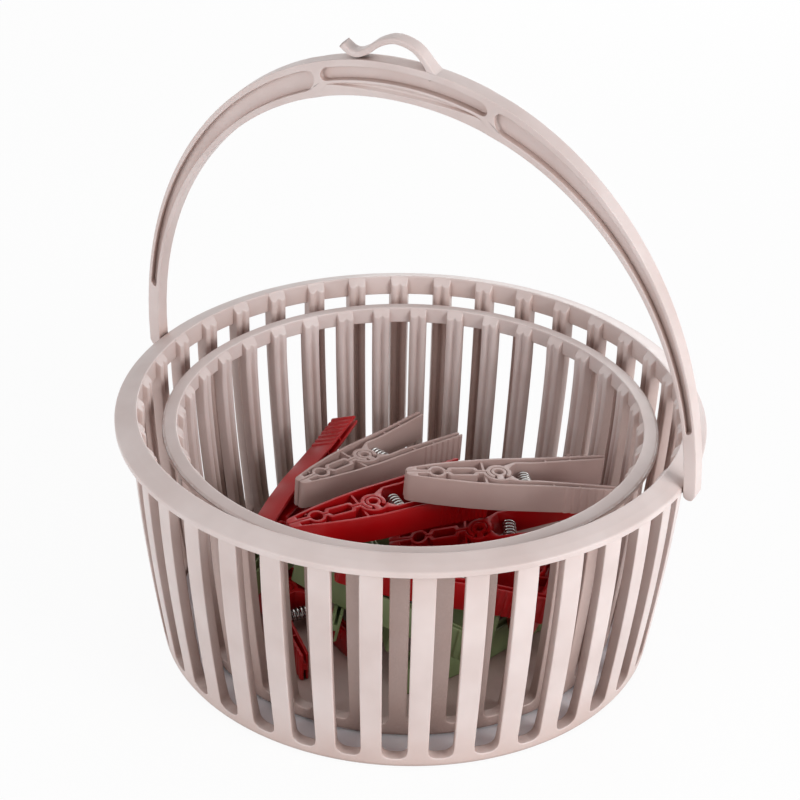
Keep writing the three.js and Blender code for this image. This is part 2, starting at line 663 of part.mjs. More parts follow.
// The pegs from the bottom of the pile to the top, each with its colour and how it was dropped. Its place is
// given in shares of the liner's inside radius at the floor.
const SHUFFLE = BOWL_R / 13;
const LOOSE = { shuffle: SHUFFLE, turn: 20, tilt: 12 };
const LAID = { shuffle: 0, turn: 0, tilt: 4 };
const PEGS = [
  { colour: 'green', at: [0.486, -0.205], heading: 75, roll: 0, pitch: 0, ...LOOSE },
  { colour: 'red', at: [-0.435, -0.435], heading: 325, roll: 0, pitch: 0, ...LOOSE },
  { colour: 'green', at: [-0.051, -0.307], heading: 280, roll: 0, pitch: 0, ...LOOSE },
  { colour: 'green', at: [0.102, -0.588], heading: 5, roll: 0, pitch: 0, ...LOOSE },
  { colour: 'red', at: [0.588, 0.23], heading: 110, roll: 0, pitch: 0, ...LOOSE },
  { colour: 'green', at: [-0.358, 0.435], heading: 60, roll: 0, pitch: 0, ...LOOSE },
  { colour: 'green', at: [-0.588, -0.205], heading: 75, roll: 0, pitch: 0, ...LOOSE },
  { colour: 'red', at: [0.307, -0.46], heading: 35, roll: 0, pitch: 0, ...LOOSE },
  { colour: 'taupe', at: [0.396, 0.384], heading: 50, roll: 0, pitch: 14, ...LAID },
  { colour: 'red', at: [0.512, 0.077], heading: 38, roll: 0, pitch: 0, ...LOOSE },
  { colour: 'red', at: [-0.588, 0], heading: 90, roll: -114, pitch: 8, ...LAID },
  { colour: 'taupe', at: [-0.358, 0.256], heading: 73, roll: 0, pitch: 0, ...LAID },
  { colour: 'red', at: [-0.026, -0.23], heading: 56, roll: 3, pitch: 0, ...LAID },
  { colour: 'taupe', at: [0.499, 0.09], heading: 36, roll: 0, pitch: 0, ...LAID },
];

const COLOURS = { taupe: 0xc9b8b6, red: 0xb01010, green: 0x6f875d };
const plastic = (colour) => new THREE.MeshStandardMaterial({ color: COLOURS[colour], roughness: 0.5 });
const steel = () => new THREE.MeshStandardMaterial({ color: 0xd8d8d8, metalness: 1, roughness: 0.25 });

const group = new THREE.Group();
group.name = 'peg_basket';
const place = (name, geometry, material) => {
  const mesh = new THREE.Mesh(geometry, material);
  mesh.name = name;
  group.add(mesh);
};

place('outer_basket', toGeometry(makeOuterBasket()), plastic('taupe'));
place('liner', toGeometry(LINER_SOLID), plastic('taupe'));
place('bail_handle', toGeometry(makeBail()), plastic('taupe'));

group.userData.pegs = PEGS.map((peg, i) => {
  const matrix = settle(peg);
  const number = String(i + 1).padStart(2, '0');
  const posed = (geometry) => geometry.clone().applyMatrix4(matrix);
  place(`peg_${number}_ring_leg`, posed(RING_LEG), plastic(peg.colour));
  place(`peg_${number}_knuckle_leg`, posed(KNUCKLE_LEG), plastic(peg.colour));
  place(`peg_${number}_spring`, posed(SPRING), steel());
  return { number, colour: peg.colour, matrix };
});

export default group;
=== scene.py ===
# %% [markdown]
# A peg basket: a round slatted basket of pale taupe polypropylene, a loose liner that stands in it, a
# swinging bail with a line hook moulded on its top, and a pile of spring pegs. The plain solids of the part
# could be shaded as they are, but their edges would look cut from card. So the frame gives only the places
# and the joints, and every piece is made again here with its fine profile, its eased edges and its finish.
# Lengths are in millimetres until a piece is made, and MM turns them to metres.

import json
import math
from types import SimpleNamespace

import bmesh
import bpy
import numpy as np
from mathutils import Matrix, Vector


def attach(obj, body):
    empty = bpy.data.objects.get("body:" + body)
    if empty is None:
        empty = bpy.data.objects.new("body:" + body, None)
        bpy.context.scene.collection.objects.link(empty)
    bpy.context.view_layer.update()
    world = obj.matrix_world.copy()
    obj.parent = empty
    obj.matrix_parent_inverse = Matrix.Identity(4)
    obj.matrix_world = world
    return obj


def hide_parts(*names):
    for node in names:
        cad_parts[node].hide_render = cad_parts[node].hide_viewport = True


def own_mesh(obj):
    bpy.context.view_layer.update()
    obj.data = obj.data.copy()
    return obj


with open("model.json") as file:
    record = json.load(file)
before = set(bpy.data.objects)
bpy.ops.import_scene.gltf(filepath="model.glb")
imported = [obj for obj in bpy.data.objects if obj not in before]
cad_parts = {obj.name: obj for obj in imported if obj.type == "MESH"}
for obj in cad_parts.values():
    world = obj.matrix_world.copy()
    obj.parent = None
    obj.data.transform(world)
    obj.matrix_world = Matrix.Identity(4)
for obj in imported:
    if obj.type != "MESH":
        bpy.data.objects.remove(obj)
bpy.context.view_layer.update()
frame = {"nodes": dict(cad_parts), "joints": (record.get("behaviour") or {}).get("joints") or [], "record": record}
MM = 0.001

# %% [markdown]
# The real pieces are injection moulded: thin walls, with every edge a little round. Such a wall could be cut
# from a block with booleans, but those leave long slivers that shade badly. Here a surface is laid out as a
# few grids of points whose borders coincide. Sewn together they are one closed skin of even faces.

# %% Sewing a skin
SEW_WITHIN = 0.004
SLIVER = 0.002


def sewn(grids):
    """One skin from grids of points (rows x columns x 3, in mm), joined where they coincide."""
    skin = bmesh.new()
    for grid in grids:
        rows, columns = grid.shape[:2]
        points = [[skin.verts.new(grid[r, c] * MM) for c in range(columns)] for r in range(rows)]
        for r in range(rows - 1):
            for c in range(columns - 1):
                skin.faces.new((points[r][c], points[r][c + 1], points[r + 1][c + 1], points[r + 1][c]))
    bmesh.ops.remove_doubles(skin, verts=skin.verts, dist=SEW_WITHIN * MM)
    bmesh.ops.dissolve_degenerate(skin, edges=skin.edges, dist=SLIVER * MM)
    bmesh.ops.recalc_face_normals(skin, faces=skin.faces)
    return skin


def join_rings(skin, rings):
    """Faces between rings of points, each ring closed on itself."""
    count = len(rings[0])
    for one, two in zip(rings, rings[1:]):
        for i in range(count):
            k = (i + 1) % count
            skin.faces.new((one[i], one[k], two[k], two[i]))


print("points within", SEW_WITHIN, "mm of each other are sewn into one")

# %% [markdown]
# A mould can't hold a sharp edge, and the thin bright line along a rounded one is what tells plastic from
# card. A bevel modifier could round all edges alike. A bevel on chosen edges keeps the inner corners crisp,
# and weighted normals then let the flat faces stay flat beside it.

# %% Rounding over, and pieces from skins
ROUND_STEPS = 2
FLATS_FIRST = 80


def round_over(skin, radius, sharper_than=34, inner_too=False):
    """Rounds the outer edges that turn by more than an angle in degrees, and the inner ones where asked."""
    sharp = [e for e in skin.edges if e.is_manifold and (inner_too or e.is_convex)
             and math.degrees(e.calc_face_angle(0)) > sharper_than]
    bmesh.ops.bevel(skin, geom=sharp, offset=radius * MM, segments=ROUND_STEPS, profile=0.5, affect="EDGES",
                    clamp_overlap=inner_too, loop_slide=True)


def to_mesh(skin, name):
    mesh = bpy.data.meshes.new(name)
    skin.to_mesh(mesh)
    skin.free()
    mesh.shade_smooth()
    return mesh


def new_piece(name, mesh, material):
    piece = bpy.data.objects.new(name, mesh)
    bpy.context.scene.collection.objects.link(piece)
    mesh.materials.clear()
    mesh.materials.append(material)
    return piece


def even_shading(piece):
    """Large faces decide how their rounded edges shade, so flats stay flat."""
    weigh = piece.modifiers.new("even shading", "WEIGHTED_NORMAL")
    weigh.keep_sharp = True
    weigh.weight = FLATS_FIRST
    return piece


print("edges are rounded in", ROUND_STEPS, "steps")

# %% [markdown]
# Colours are written as the sRGB hex values that a screen shows, while Blender's sockets take linear light,
# so one function turns the first into the second. Nodes could be joined by hand in the editor. One small
# function that adds a node, sets it and links it keeps each finish short enough to read.

# %% Colours and nodes
NOISE_ENDS = (0.3, 0.7)


def srgb(hex_colour):
    channels = [int(hex_colour[i:i + 2], 16) / 255 for i in (1, 3, 5)]
    return tuple(c / 12.92 if c <= 0.04045 else ((c + 0.055) / 1.055) ** 2.4 for c in channels) + (1,)


def add_node(tree, kind, links=None, **settings):
    """Adds a node, sets its sockets or properties by name, and links its inputs."""
    node = tree.nodes.new(kind)
    for key, value in settings.items():
        if key in node.inputs:
            node.inputs[key].default_value = value
        else:
            setattr(node, key, value)
    for key, source in (links or {}).items():
        tree.links.new(source, node.inputs[key])
    return node


def set_tones(ramp, places, tones):
    """Puts two hex colours at two places of a colour ramp."""
    for stop, at, tone in zip(ramp.color_ramp.elements, places, tones):
        stop.position, stop.color = at, srgb(tone)


def fresh_material(name):
    material = bpy.data.materials.new(name)
    material.use_nodes = True
    material.node_tree.nodes.clear()
    return material, material.node_tree


print("mid grey #808080 is", round(srgb("#808080")[0], 3), "in linear light")

# %% [markdown]
# Light that goes from wall to wall through taupe plastic comes out browner, so the inside of the real basket
# looks warm and deep. Many bounces with strong subsurface light would show it, slowly and with noise. Here
# the shade is painted instead: an Ambient Occlusion node measures how enclosed a point is, and the colour is
# blended to two deeper, darker tones there. It depends only on the shape, so it looks the same from every side.

# %% Painted warm shade between walls
ENCLOSED_WITHIN, ENCLOSED_RAYS = 45, 6
SHADE_FULL, SHADE_NONE = 0.05, 0.7
SHADE_ENDS = (0.08, 0.42)
# A Mix node has a pair of inputs for each kind of data. These are its places for colour.
MIX_A, MIX_B, MIX_RESULT = 6, 7, 2


def painted_warm_shade(tree, tint, tones):
    """The tint, turned to two deeper tones as painted shade where other walls stand close around it."""
    nearby = add_node(tree, "ShaderNodeAmbientOcclusion", Distance=ENCLOSED_WITHIN * MM,
                      samples=ENCLOSED_RAYS).outputs["AO"]
    share = add_node(tree, "ShaderNodeMapRange", {"Value": nearby},
                     **{"From Min": SHADE_FULL, "From Max": SHADE_NONE, "To Min": 1.0, "To Max": 0.0})
    deeper = add_node(tree, "ShaderNodeValToRGB", {"Fac": nearby})
    set_tones(deeper, SHADE_ENDS, tones)
    blend = add_node(tree, "ShaderNodeMix", {"Factor": share.outputs["Result"], MIX_A: tint,
                                             MIX_B: deeper.outputs["Color"]}, data_type="RGBA")
    return blend.outputs[MIX_RESULT]


print("walls within", ENCLOSED_WITHIN, "mm warm the colour")

# %% [markdown]
# Basket, liner, bail and pegs are polypropylene as it leaves the mould. The eye sees a soft satin skin with a
# broad dull highlight, a colour that drifts a little where the melt flowed, and thin edges that let some
# light through. One colour with one roughness would look like paint. Three noise patterns in the piece's own
# coordinates give the drift, the flow in the sheen and the grain, so nothing has to be unwrapped.

# %% Moulded polypropylene
COLOUR_DRIFT, MELT_FLOW = 28, 9
# The real grain is about a tenth of a millimetre, too fine to show, so it is drawn coarser.
SATIN_GRAIN = 0.45
SHEEN_SWING = 0.06
GRAIN_STRENGTH, GRAIN_HEIGHT = 0.12, 0.05
LIGHT_REACH, LIGHT_SPREAD = 1.6, (1.0, 0.62, 0.55)
PLASTIC_IOR, PLASTIC_SHINE = 1.49, 0.42


def moulded_polypropylene(name, pale, deep, satin, glow, warm=None):
    """pale and deep end the colour's drift, satin is the mean roughness, glow the light that passes through.

    warm is the pair of deeper tones painted in as shade between walls.
    """
    material, tree = fresh_material(name)
    where = add_node(tree, "ShaderNodeTexCoord").outputs["Object"]
    drift = add_node(tree, "ShaderNodeTexNoise", {"Vector": where}, Scale=1 / (COLOUR_DRIFT * MM), Detail=3.0)
    colour = add_node(tree, "ShaderNodeValToRGB", {"Fac": drift.outputs["Fac"]})
    set_tones(colour, NOISE_ENDS, (deep, pale))
    tint = colour.outputs["Color"]
    # Painted shade: the colour turns browner and darker where walls stand close.
    if warm:
        tint = painted_warm_shade(tree, tint, warm)
    grain = add_node(tree, "ShaderNodeTexNoise", {"Vector": where}, Scale=1 / (SATIN_GRAIN * MM), Detail=2.0)
    flow = add_node(tree, "ShaderNodeTexNoise", {"Vector": where}, Scale=1 / (MELT_FLOW * MM), Detail=2.0)
    sheen = add_node(tree, "ShaderNodeMapRange", {"Value": flow.outputs["Fac"]},
                     **{"From Min": NOISE_ENDS[0], "From Max": NOISE_ENDS[1],
                        "To Min": satin - SHEEN_SWING, "To Max": satin + SHEEN_SWING})
    skin = add_node(tree, "ShaderNodeBump", {"Height": grain.outputs["Fac"]},
                    Strength=GRAIN_STRENGTH, Distance=GRAIN_HEIGHT * MM)
    shader = add_node(tree, "ShaderNodeBsdfPrincipled", {
        "Base Color": tint, "Roughness": sheen.outputs["Result"], "Normal": skin.outputs["Normal"],
    }, **{"Subsurface Weight": glow, "Subsurface Radius": LIGHT_SPREAD, "Subsurface Scale": LIGHT_REACH * MM,
          "IOR": PLASTIC_IOR, "Specular IOR Level": PLASTIC_SHINE})
    add_node(tree, "ShaderNodeOutputMaterial", {"Surface": shader.outputs["BSDF"]})
    return material


# Pale taupe looks milky, with painted brown shade between its own walls. The outer floor is painted
# whiter, as light, and is duller.
taupe = moulded_polypropylene("taupe polypropylene", "#d8cac7", "#cab9b5", 0.36, 0.1, ("#5f443b", "#be9787"))
# The outer floor's whiter material is painted light, not a colour of the plastic.
painted_floor_light = moulded_polypropylene("frosted polypropylene", "#f0eef2", "#e6e3e9", 0.55, 0.1)
# The pegs hold more pigment, so they let less light through. The red is the glossiest of them.
PLASTIC = {
    "taupe_plastic": moulded_polypropylene("brown taupe polypropylene", "#bba19b", "#b1958f", 0.4, 0.06),
    "red_plastic": moulded_polypropylene("red polypropylene", "#b00a10", "#9d070c", 0.33, 0.06),
    "green_plastic": moulded_polypropylene("sage green polypropylene", "#7d8c62", "#74835a", 0.4, 0.06),
}
print("plastics:", ", ".join(m.name for m in (taupe, painted_floor_light, *PLASTIC.values())))

# %% [markdown]
# A peg's spring is wound from steel wire that was drawn through a die. To the eye it is bright, with
# highlights that change along the wire. A mirror finish would look like chrome, so one noise moves its tone
# and its polish together. A metal keeps the default IOR.

# %% Drawn steel wire
# Real drawing lines are hundredths of a millimetre wide, too fine to show, so they are drawn this coarse.
WIRE_STREAK = 4
WIRE_POLISH = (0.18, 0.32)


def drawn_steel(name):
    material, tree = fresh_material(name)
    where = add_node(tree, "ShaderNodeTexCoord").outputs["Object"]
    streak = add_node(tree, "ShaderNodeTexNoise", {"Vector": where}, Scale=1 / (WIRE_STREAK * MM), Detail=2.0)
    polish = add_node(tree, "ShaderNodeMapRange", {"Value": streak.outputs["Fac"]},
                      **{"From Min": NOISE_ENDS[0], "From Max": NOISE_ENDS[1],
                         "To Min": WIRE_POLISH[0], "To Max": WIRE_POLISH[1]})
    tone = add_node(tree, "ShaderNodeValToRGB", {"Fac": streak.outputs["Fac"]})
    set_tones(tone, NOISE_ENDS, ("#b9b8b6", "#d9d8d6"))
    shader = add_node(tree, "ShaderNodeBsdfPrincipled", {
        "Base Color": tone.outputs["Color"], "Roughness": polish.outputs["Result"]}, Metallic=1.0)
    add_node(tree, "ShaderNodeOutputMaterial", {"Surface": shader.outputs["BSDF"]})
    return material


spring_wire = drawn_steel("drawn steel wire")
print("metal:", spring_wire.name)

# %% [markdown]
# Each basket is one moulding: a wall that swells from the base to a band under the rim, pierced by 36 slots.
# Boolean cuts through a turned wall could make the slots, but not the slats' fine profile. So half of one
# slat is laid out in degrees, radius and height, then mirrored and repeated around. The liner has the same
# design, so the two differ only in these sizes. In the functions b is one basket's sizes, and s its stations.

# %% Sizes of the baskets
OUTER = SimpleNamespace(
    rim_in=104, rim_flat=5, rim_fall=1.3, rim_crown=3.6, crown_drop=1.35, lip=2.5, height=100, band_wall=2.6,
    slat_depth=5, base_r=97, floor=2.6, slot_top=8.6, slot_foot=4.6, stands_at=0, draft=0.2, turned=0.9)
LINER = SimpleNamespace(
    rim_in=89.2, rim_flat=4.6, rim_fall=0.55, rim_crown=1.2, crown_drop=0.7, lip=1.6, height=89.8,
    band_wall=2, slat_depth=4.4, base_r=82.6, floor=4.2, slot_top=6.9, slot_foot=6.2, stands_at=2.9,
    draft=0.08, turned=-3.9)
SLATS, SLOT_SHARE, SLOT_CORNER = 36, 0.56, 0.75
BULGE = 1.6
HALF_PITCH = 180 / SLATS
SLAT_EDGE = HALF_PITCH * (1 - SLOT_SHARE)


def under_rim(b):
    return b.height - b.rim_fall - b.crown_drop - b.lip


def outside_r(b, z):
    """The wall's outer radius at a height, which swells from the base to the band."""
    share = np.clip(z / under_rim(b), 0, 1)
    return b.base_r + (b.rim_in + b.band_wall - b.base_r) * (1 - (1 - share) ** BULGE)


def inside_r(b, z):
    return outside_r(b, z) - b.slat_depth


def polar(turn, r, z):
    """Points from degrees about the axis, radius and height, each broadcast to the same grid."""
    turn, r, z = np.broadcast_arrays(np.radians(turn), r, z)
    return np.stack([r * np.cos(turn), r * np.sin(turn), z], axis=-1).astype(float)


for size in (OUTER, LINER):
    print("wall radius at the base and the rim:", size.base_r, float(outside_r(size, under_rim(size))))

# %% [markdown]
# The grids of a half slat can only be sewn if they share their stations, the degrees and heights where they
# meet. Each slot has a foot with round corners, so the stations beside it follow an arc. They could be worked
# out again in each grid. Doing it once, before any grid, keeps the seams closed when a size changes.

# %% Stations of half a slat
ACROSS = np.array([0, 0.12, 0.24, 0.36, 0.48, 0.6, 0.72, 0.86, 1])
LOW_STEPS = np.array([0, 0.3, 0.62, 1])
SLAT_STEPS, CORNER_STEPS, BAND_STEPS = 15, 7, 3


def stations(b):
    slot_high = b.height - b.slot_top
    half_slot = math.tan(math.radians(HALF_PITCH * SLOT_SHARE)) * outside_r(b, b.slot_foot)
    corner = half_slot * SLOT_CORNER
    slat_low = b.slot_foot + corner
    swing = np.radians(np.linspace(0, 90, CORNER_STEPS))
    along_foot = np.concatenate([1 - SLOT_CORNER * (1 - np.cos(swing)), [(1 - SLOT_CORNER) / 2, 0]])
    return SimpleNamespace(
        slot_high=slot_high, slat_low=slat_low, across=ACROSS * SLAT_EDGE,
        foot_turn=HALF_PITCH - (HALF_PITCH - SLAT_EDGE) * along_foot,
        foot_z=slat_low - corner * np.concatenate([np.sin(swing), [1, 1]]),
        slat_z=slat_low + np.linspace(0, 1, SLAT_STEPS) * (slot_high - slat_low),
        band_z=np.linspace(slot_high, under_rim(b), BAND_STEPS),
        proud=b.rim_in - inside_r(b, b.height))


print("the outer basket's slots are", round(stations(OUTER).slot_high - OUTER.slot_foot, 1), "mm high")

# %% [markdown]
# Seen from inside, each slat has two rounded ridges with a groove between them, and a slanted head that runs
# up to the rim. A bump map could hint at them, but they catch the light from every side, so they are shape.
# The inner radius is a formula of where a point is across the slat and how high it is.

# %% The inner face of a slat
SLAT_HEAD, HEAD_DROP = 3.4, 0.7
GROOVE, SHOULDER = 1.35, 0.6
RIDGE_FROM, RIDGE_TO = 0.44, 0.66
GROOVE_RUN_IN = 9
HEAD_FADE, FADE_BELOW, FADE_OVER = 0.45, 12, 7
HEAD_STEPS = np.array([[0.34], [0.67], [1]])


def smooth(x):
    x = np.clip(x, 0, 1)
    return x * x * (3 - 2 * x)


def groove(share):
    """How deep the slat's inner face is hollowed, from its middle (0) to its edge (1)."""
    return GROOVE * (1 - smooth(share / RIDGE_FROM)) + SHOULDER * smooth((share - RIDGE_TO) / (1 - RIDGE_TO))


def slat_r(b, s, turn, z):
    """The slat's inner radius: a groove between two ridges, cut off at the top by the slanted head."""
    fade = 1 - HEAD_FADE * smooth((z - b.height + FADE_BELOW) / FADE_OVER)
    hollow = smooth((z - s.slat_low) / GROOVE_RUN_IN) * fade * groove(np.abs(turn) / SLAT_EDGE)
    slant = b.rim_in - np.clip(b.height - HEAD_DROP - z, 0, None) * s.proud / (SLAT_HEAD - HEAD_DROP)
    return np.maximum(inside_r(b, z) + hollow, slant)


def head_z(b, s, turn):
    """Heights from the slot's top to the rim, with one on the crease where the slat meets its head."""
    start = b.height - HEAD_DROP
    hollow = (1 - HEAD_FADE) * groove(np.abs(turn) / SLAT_EDGE) / s.proud
    crease = start - (SLAT_HEAD - HEAD_DROP) * (1 - hollow)
    return np.concatenate([s.slot_high + HEAD_STEPS * (crease - s.slot_high),
                           crease + HEAD_STEPS[1:] * (start - crease), np.full_like(crease, b.height)])


print("groove at a slat's middle, ridge and edge:", [round(float(groove(x)), 2) for x in (0, 0.5, 1)], "mm")

# %% [markdown]
# The wall is now put together from its outside, its inside and the walls of the slot between them. They could
# be one long list of points, but a function for each face can be read and checked by itself.

# %% The faces of half a slat
FOOT_ROUND = 2.4


def outer_face(b, s):
    """The outside of the slat and the band over it, of the wall below the slot, and of the band above it."""
    low_z = FOOT_ROUND + LOW_STEPS[:-1] * (s.slat_low - FOOT_ROUND)
    skin_z = np.concatenate([low_z, s.slat_z, s.band_z[1:]])
    below_z = FOOT_ROUND + LOW_STEPS[:, None] * (s.foot_z[None, :] - FOOT_ROUND)
    return [polar(s.across[None, :], outside_r(b, skin_z)[:, None], skin_z[:, None]),
            polar(s.foot_turn[None, :], outside_r(b, below_z), below_z),
            polar(s.foot_turn[None, :], outside_r(b, s.band_z)[:, None], s.band_z[:, None])]


def inner_face(b, s):
    """The inside of the slat from the floor to the rim, and of the wall below the slot."""
    low_z = np.concatenate([[b.floor], b.floor + LOW_STEPS[1:-1] * (s.slat_low - b.floor), s.slat_z])
    z = np.concatenate([np.repeat(low_z[:, None], len(ACROSS), axis=1), head_z(b, s, s.across[None, :])])
    r = slat_r(b, s, s.across[None, :], z)
    r[-1, :] = b.rim_in
    below_z = b.floor + LOW_STEPS[:, None] * (s.foot_z[None, :] - b.floor)
    return [polar(s.across[None, :], r, z), polar(s.foot_turn[None, :], inside_r(b, below_z), below_z)]


def slot_walls(b, s):
    """The slot's side and foot, the band's underside over it, the band's inside, and the head's flank."""
    open_z = np.concatenate([s.slat_z[::-1], s.foot_z[1:]])
    open_turn = np.concatenate([np.full(SLAT_STEPS, SLAT_EDGE), s.foot_turn[1:]])
    side_in = np.where(open_z > s.slat_low, slat_r(b, s, SLAT_EDGE, open_z), inside_r(b, open_z))
    band_r = outside_r(b, s.slot_high)
    outer = outside_r(b, open_z)
    depths = np.stack([outer, outer - (band_r - b.rim_in), side_in])
    upper_z = np.concatenate([[s.slot_high], head_z(b, s, np.array([[SLAT_EDGE]]))[:, 0]])
    flank = np.stack([np.full(len(upper_z), float(b.rim_in)), slat_r(b, s, SLAT_EDGE, upper_z)])
    flank[1, -1] = b.rim_in
    return [polar(open_turn[None, :], depths, open_z[None, :]),
            polar(s.foot_turn[None, :], np.array([[band_r], [b.rim_in]]), s.slot_high),
            polar(s.foot_turn[None, :], b.rim_in, upper_z[:, None]),
            polar(SLAT_EDGE, flank, upper_z[None, :])]


wall_grids = [face(OUTER, stations(OUTER)) for face in (outer_face, inner_face, slot_walls)]
print("grids outside, inside and in the slot:", [len(grids) for grids in wall_grids])

# %% [markdown]
# The rim is a flat flange with a crowned edge and a lip, and the base turns into the floor over a small
# round. They run all the way around, so they could be turned on a lathe. Laid out at the slats' own stations,
# they can be sewn to the wall without a cut.

# %% Rim, foot and floor
RIM_EASE, RIM_RUN = 0.25, 1.2
LIP_STRAIGHT, RIM_BEND = 0.8, 0.6
CROWN_DIP, TOP_DIP = 0.16, 0.15
FOOT_STEPS, FLOOR_RINGS, MIDDLE_R = 5, 7, 12
SLAT_SPREAD = 1.04


def rim_profile(b):
    """Radius and height around the rim, from under it to its inner edge."""
    under, flat_end, brow = under_rim(b), b.rim_in + b.rim_flat, b.height - b.rim_fall
    out = flat_end + b.rim_crown
    return np.array([
        (outside_r(b, under), under), (out - RIM_RUN, under), (out, under),
        (out, under + b.lip * LIP_STRAIGHT), (out - RIM_EASE, under + b.lip),
        (flat_end + RIM_EASE, brow - CROWN_DIP), (flat_end, brow),
        (b.rim_in + RIM_BEND * b.rim_flat, b.height - RIM_BEND * b.rim_fall),
        (b.rim_in + RIM_RUN, b.height - TOP_DIP), (b.rim_in, b.height)])


def rim_and_floor(b, s):
    turn = np.concatenate([s.across, s.foot_turn[1:]])[None, :]
    ring = rim_profile(b)
    foot = np.radians(np.linspace(0, 90, FOOT_STEPS))
    foot_r = outside_r(b, FOOT_ROUND) - FOOT_ROUND * (1 - np.cos(foot))
    foot_z = FOOT_ROUND * (1 - np.sin(foot))
    under_r = np.linspace(foot_r[-1], MIDDLE_R, FLOOR_RINGS)
    floor_r = np.linspace(inside_r(b, b.floor), MIDDLE_R, FLOOR_RINGS)
    return [polar(turn, ring[:, 0][:, None], ring[:, 1][:, None]),
            polar(turn, foot_r[:, None], foot_z[:, None]),
            polar(turn, under_r[:, None], 0), polar(turn, floor_r[:, None], b.floor)]


def drafted(b, grid):
    """Narrows the slats towards the inside, as they must be to leave the mould."""
    r, turn = np.hypot(grid[..., 0], grid[..., 1]), np.degrees(np.arctan2(grid[..., 1], grid[..., 0]))
    depth = np.clip((outside_r(b, grid[..., 2]) - r) / b.slat_depth, 0, 1)
    edge = SLAT_EDGE * (SLAT_SPREAD - b.draft * depth)
    beside = HALF_PITCH - (HALF_PITCH - turn) * (HALF_PITCH - edge) / (HALF_PITCH - SLAT_EDGE)
    return polar(np.where(turn <= SLAT_EDGE, turn * edge / SLAT_EDGE, beside), r, grid[..., 2])


def half_slat(b):
    s = stations(b)
    grids = outer_face(b, s) + inner_face(b, s) + slot_walls(b, s) + rim_and_floor(b, s)
    return [drafted(b, grid) for grid in grids]


print("the outer rim reaches a radius of", float(rim_profile(OUTER)[:, 0].max()), "mm")

# %% [markdown]
# The bail's pins turn in two bores in the outer basket's band, each with a short collar towards the lug. The
# bore could be part of the grids, but it crosses a slat wherever the slats are turned to, so it is drilled
# with a boolean. It stops inside the wall, which leaves the inner face whole.

# %% The pivots in the wall
PIVOT_Z, PIN_R, PIN_PLAY = 95.4, 1.4, 0.3
BORE_END, BORE_MOUTH, ROD_SIDES = 103.1, 120, 28
BOSS_R, BOSS_EASE, BOSS_SUNK, BOSS_CLEAR, BOSS_SIDES = PIN_R + 1.2, 0.4, 1, 1.6, 32


def add_rod(skin, side, start, end, radius):
    """A round rod along X at the pivot's height, between two distances from the axis."""
    place = Matrix.Translation((side * (start + end) / 2 * MM, 0, PIVOT_Z * MM))
    bmesh.ops.create_cone(skin, cap_ends=True, segments=ROD_SIDES, radius1=radius * MM, radius2=radius * MM,
                          depth=(end - start) * MM, matrix=place @ Matrix.Rotation(math.pi / 2, 4, "Y"))


def carve(mesh, cutter_mesh):
    """Cuts one mesh out of another and gives back the result as a fresh skin."""
    body = bpy.data.objects.new("carved", mesh)
    tool = bpy.data.objects.new("cutter", cutter_mesh)
    for o in (body, tool):
        bpy.context.scene.collection.objects.link(o)
    cut = body.modifiers.new("cut", "BOOLEAN")
    cut.operation, cut.solver, cut.object = "DIFFERENCE", "EXACT", tool
    seen = body.evaluated_get(bpy.context.evaluated_depsgraph_get())
    skin = bmesh.new()
    skin.from_mesh(seen.to_mesh())
    seen.to_mesh_clear()
    for o, m in ((body, mesh), (tool, cutter_mesh)):
        bpy.data.objects.remove(o)
        bpy.data.meshes.remove(m)
    return skin


def add_boss(skin, side):
    """A short collar between the wall and the lug, around the pivot's bore."""
    bore = PIN_R + PIN_PLAY
    start = outside_r(OUTER, PIVOT_Z) - BOSS_SUNK
    end = OUTER.rim_in + OUTER.rim_flat + OUTER.rim_crown - BOSS_CLEAR
    profile = [(start, bore), (start, BOSS_R), (end - BOSS_EASE, BOSS_R), (end, BOSS_R - BOSS_EASE),
               (end, bore + PIN_PLAY), (end - PIN_PLAY, bore), (start, bore)]
    turn = np.radians(np.linspace(0, 360, BOSS_SIDES + 1))[:-1]
    join_rings(skin, [[skin.verts.new((side * x * MM, r * math.cos(a) * MM, (PIVOT_Z + r * math.sin(a)) * MM))
                       for a in turn] for x, r in profile])


print("pivot bores:", round(2 * (PIN_R + PIN_PLAY), 2), "mm wide at a height of", PIVOT_Z, "mm")

# %% [markdown]
# The half slat is mirrored, repeated 36 times and sewn. An array modifier could repeat it, but the edges must
# be rounded after the copies are joined. The floor between the two walls looks paler than the walls, so the
# outer floor's upward faces get a whiter material, which is painted light, not a finish of the plastic.

# %% Moulding the baskets
BASKET_ROUND = 0.42
FACES_UP, ON_FLOOR, AT_MIDDLE = 0.9, 0.1, 0.001


def middle_plate(skin, z):
    """Closes the floor's middle with one flat round face."""
    ring = [v for v in skin.verts if abs(v.co.z - z * MM) < AT_MIDDLE * MM
            and abs(v.co.xy.length - MIDDLE_R * MM) < AT_MIDDLE * MM]
    skin.faces.new(sorted(ring, key=lambda v: math.atan2(v.co.y, v.co.x)))


def slatted_wall(b):
    grids = half_slat(b)
    grids = grids + [g * np.array([1, -1, 1]) for g in grids]
    around = []
    for i in range(SLATS):
        a = 2 * math.pi * i / SLATS + math.radians(b.turned)
        c, s = math.cos(a), math.sin(a)
        around += [g @ np.array([[c, s, 0], [-s, c, 0], [0, 0, 1]]) for g in grids]
    skin = sewn(around)
    for z in (0, b.floor):
        middle_plate(skin, z)
    bmesh.ops.recalc_face_normals(skin, faces=skin.faces)
    return skin


def mould_basket(name, b, pivots):
    skin = slatted_wall(b)
    round_over(skin, BASKET_ROUND)
    if pivots:
        drill = bmesh.new()
        for side in (-1, 1):
            add_rod(drill, side, BORE_END, BORE_MOUTH, PIN_R + PIN_PLAY)
        skin = carve(to_mesh(skin, "uncut"), to_mesh(drill, "drill"))
        for side in (-1, 1):
            add_boss(skin, side)
    for v in skin.verts:
        v.co.z += b.stands_at * MM
    return even_shading(new_piece(name, to_mesh(skin, name), taupe))
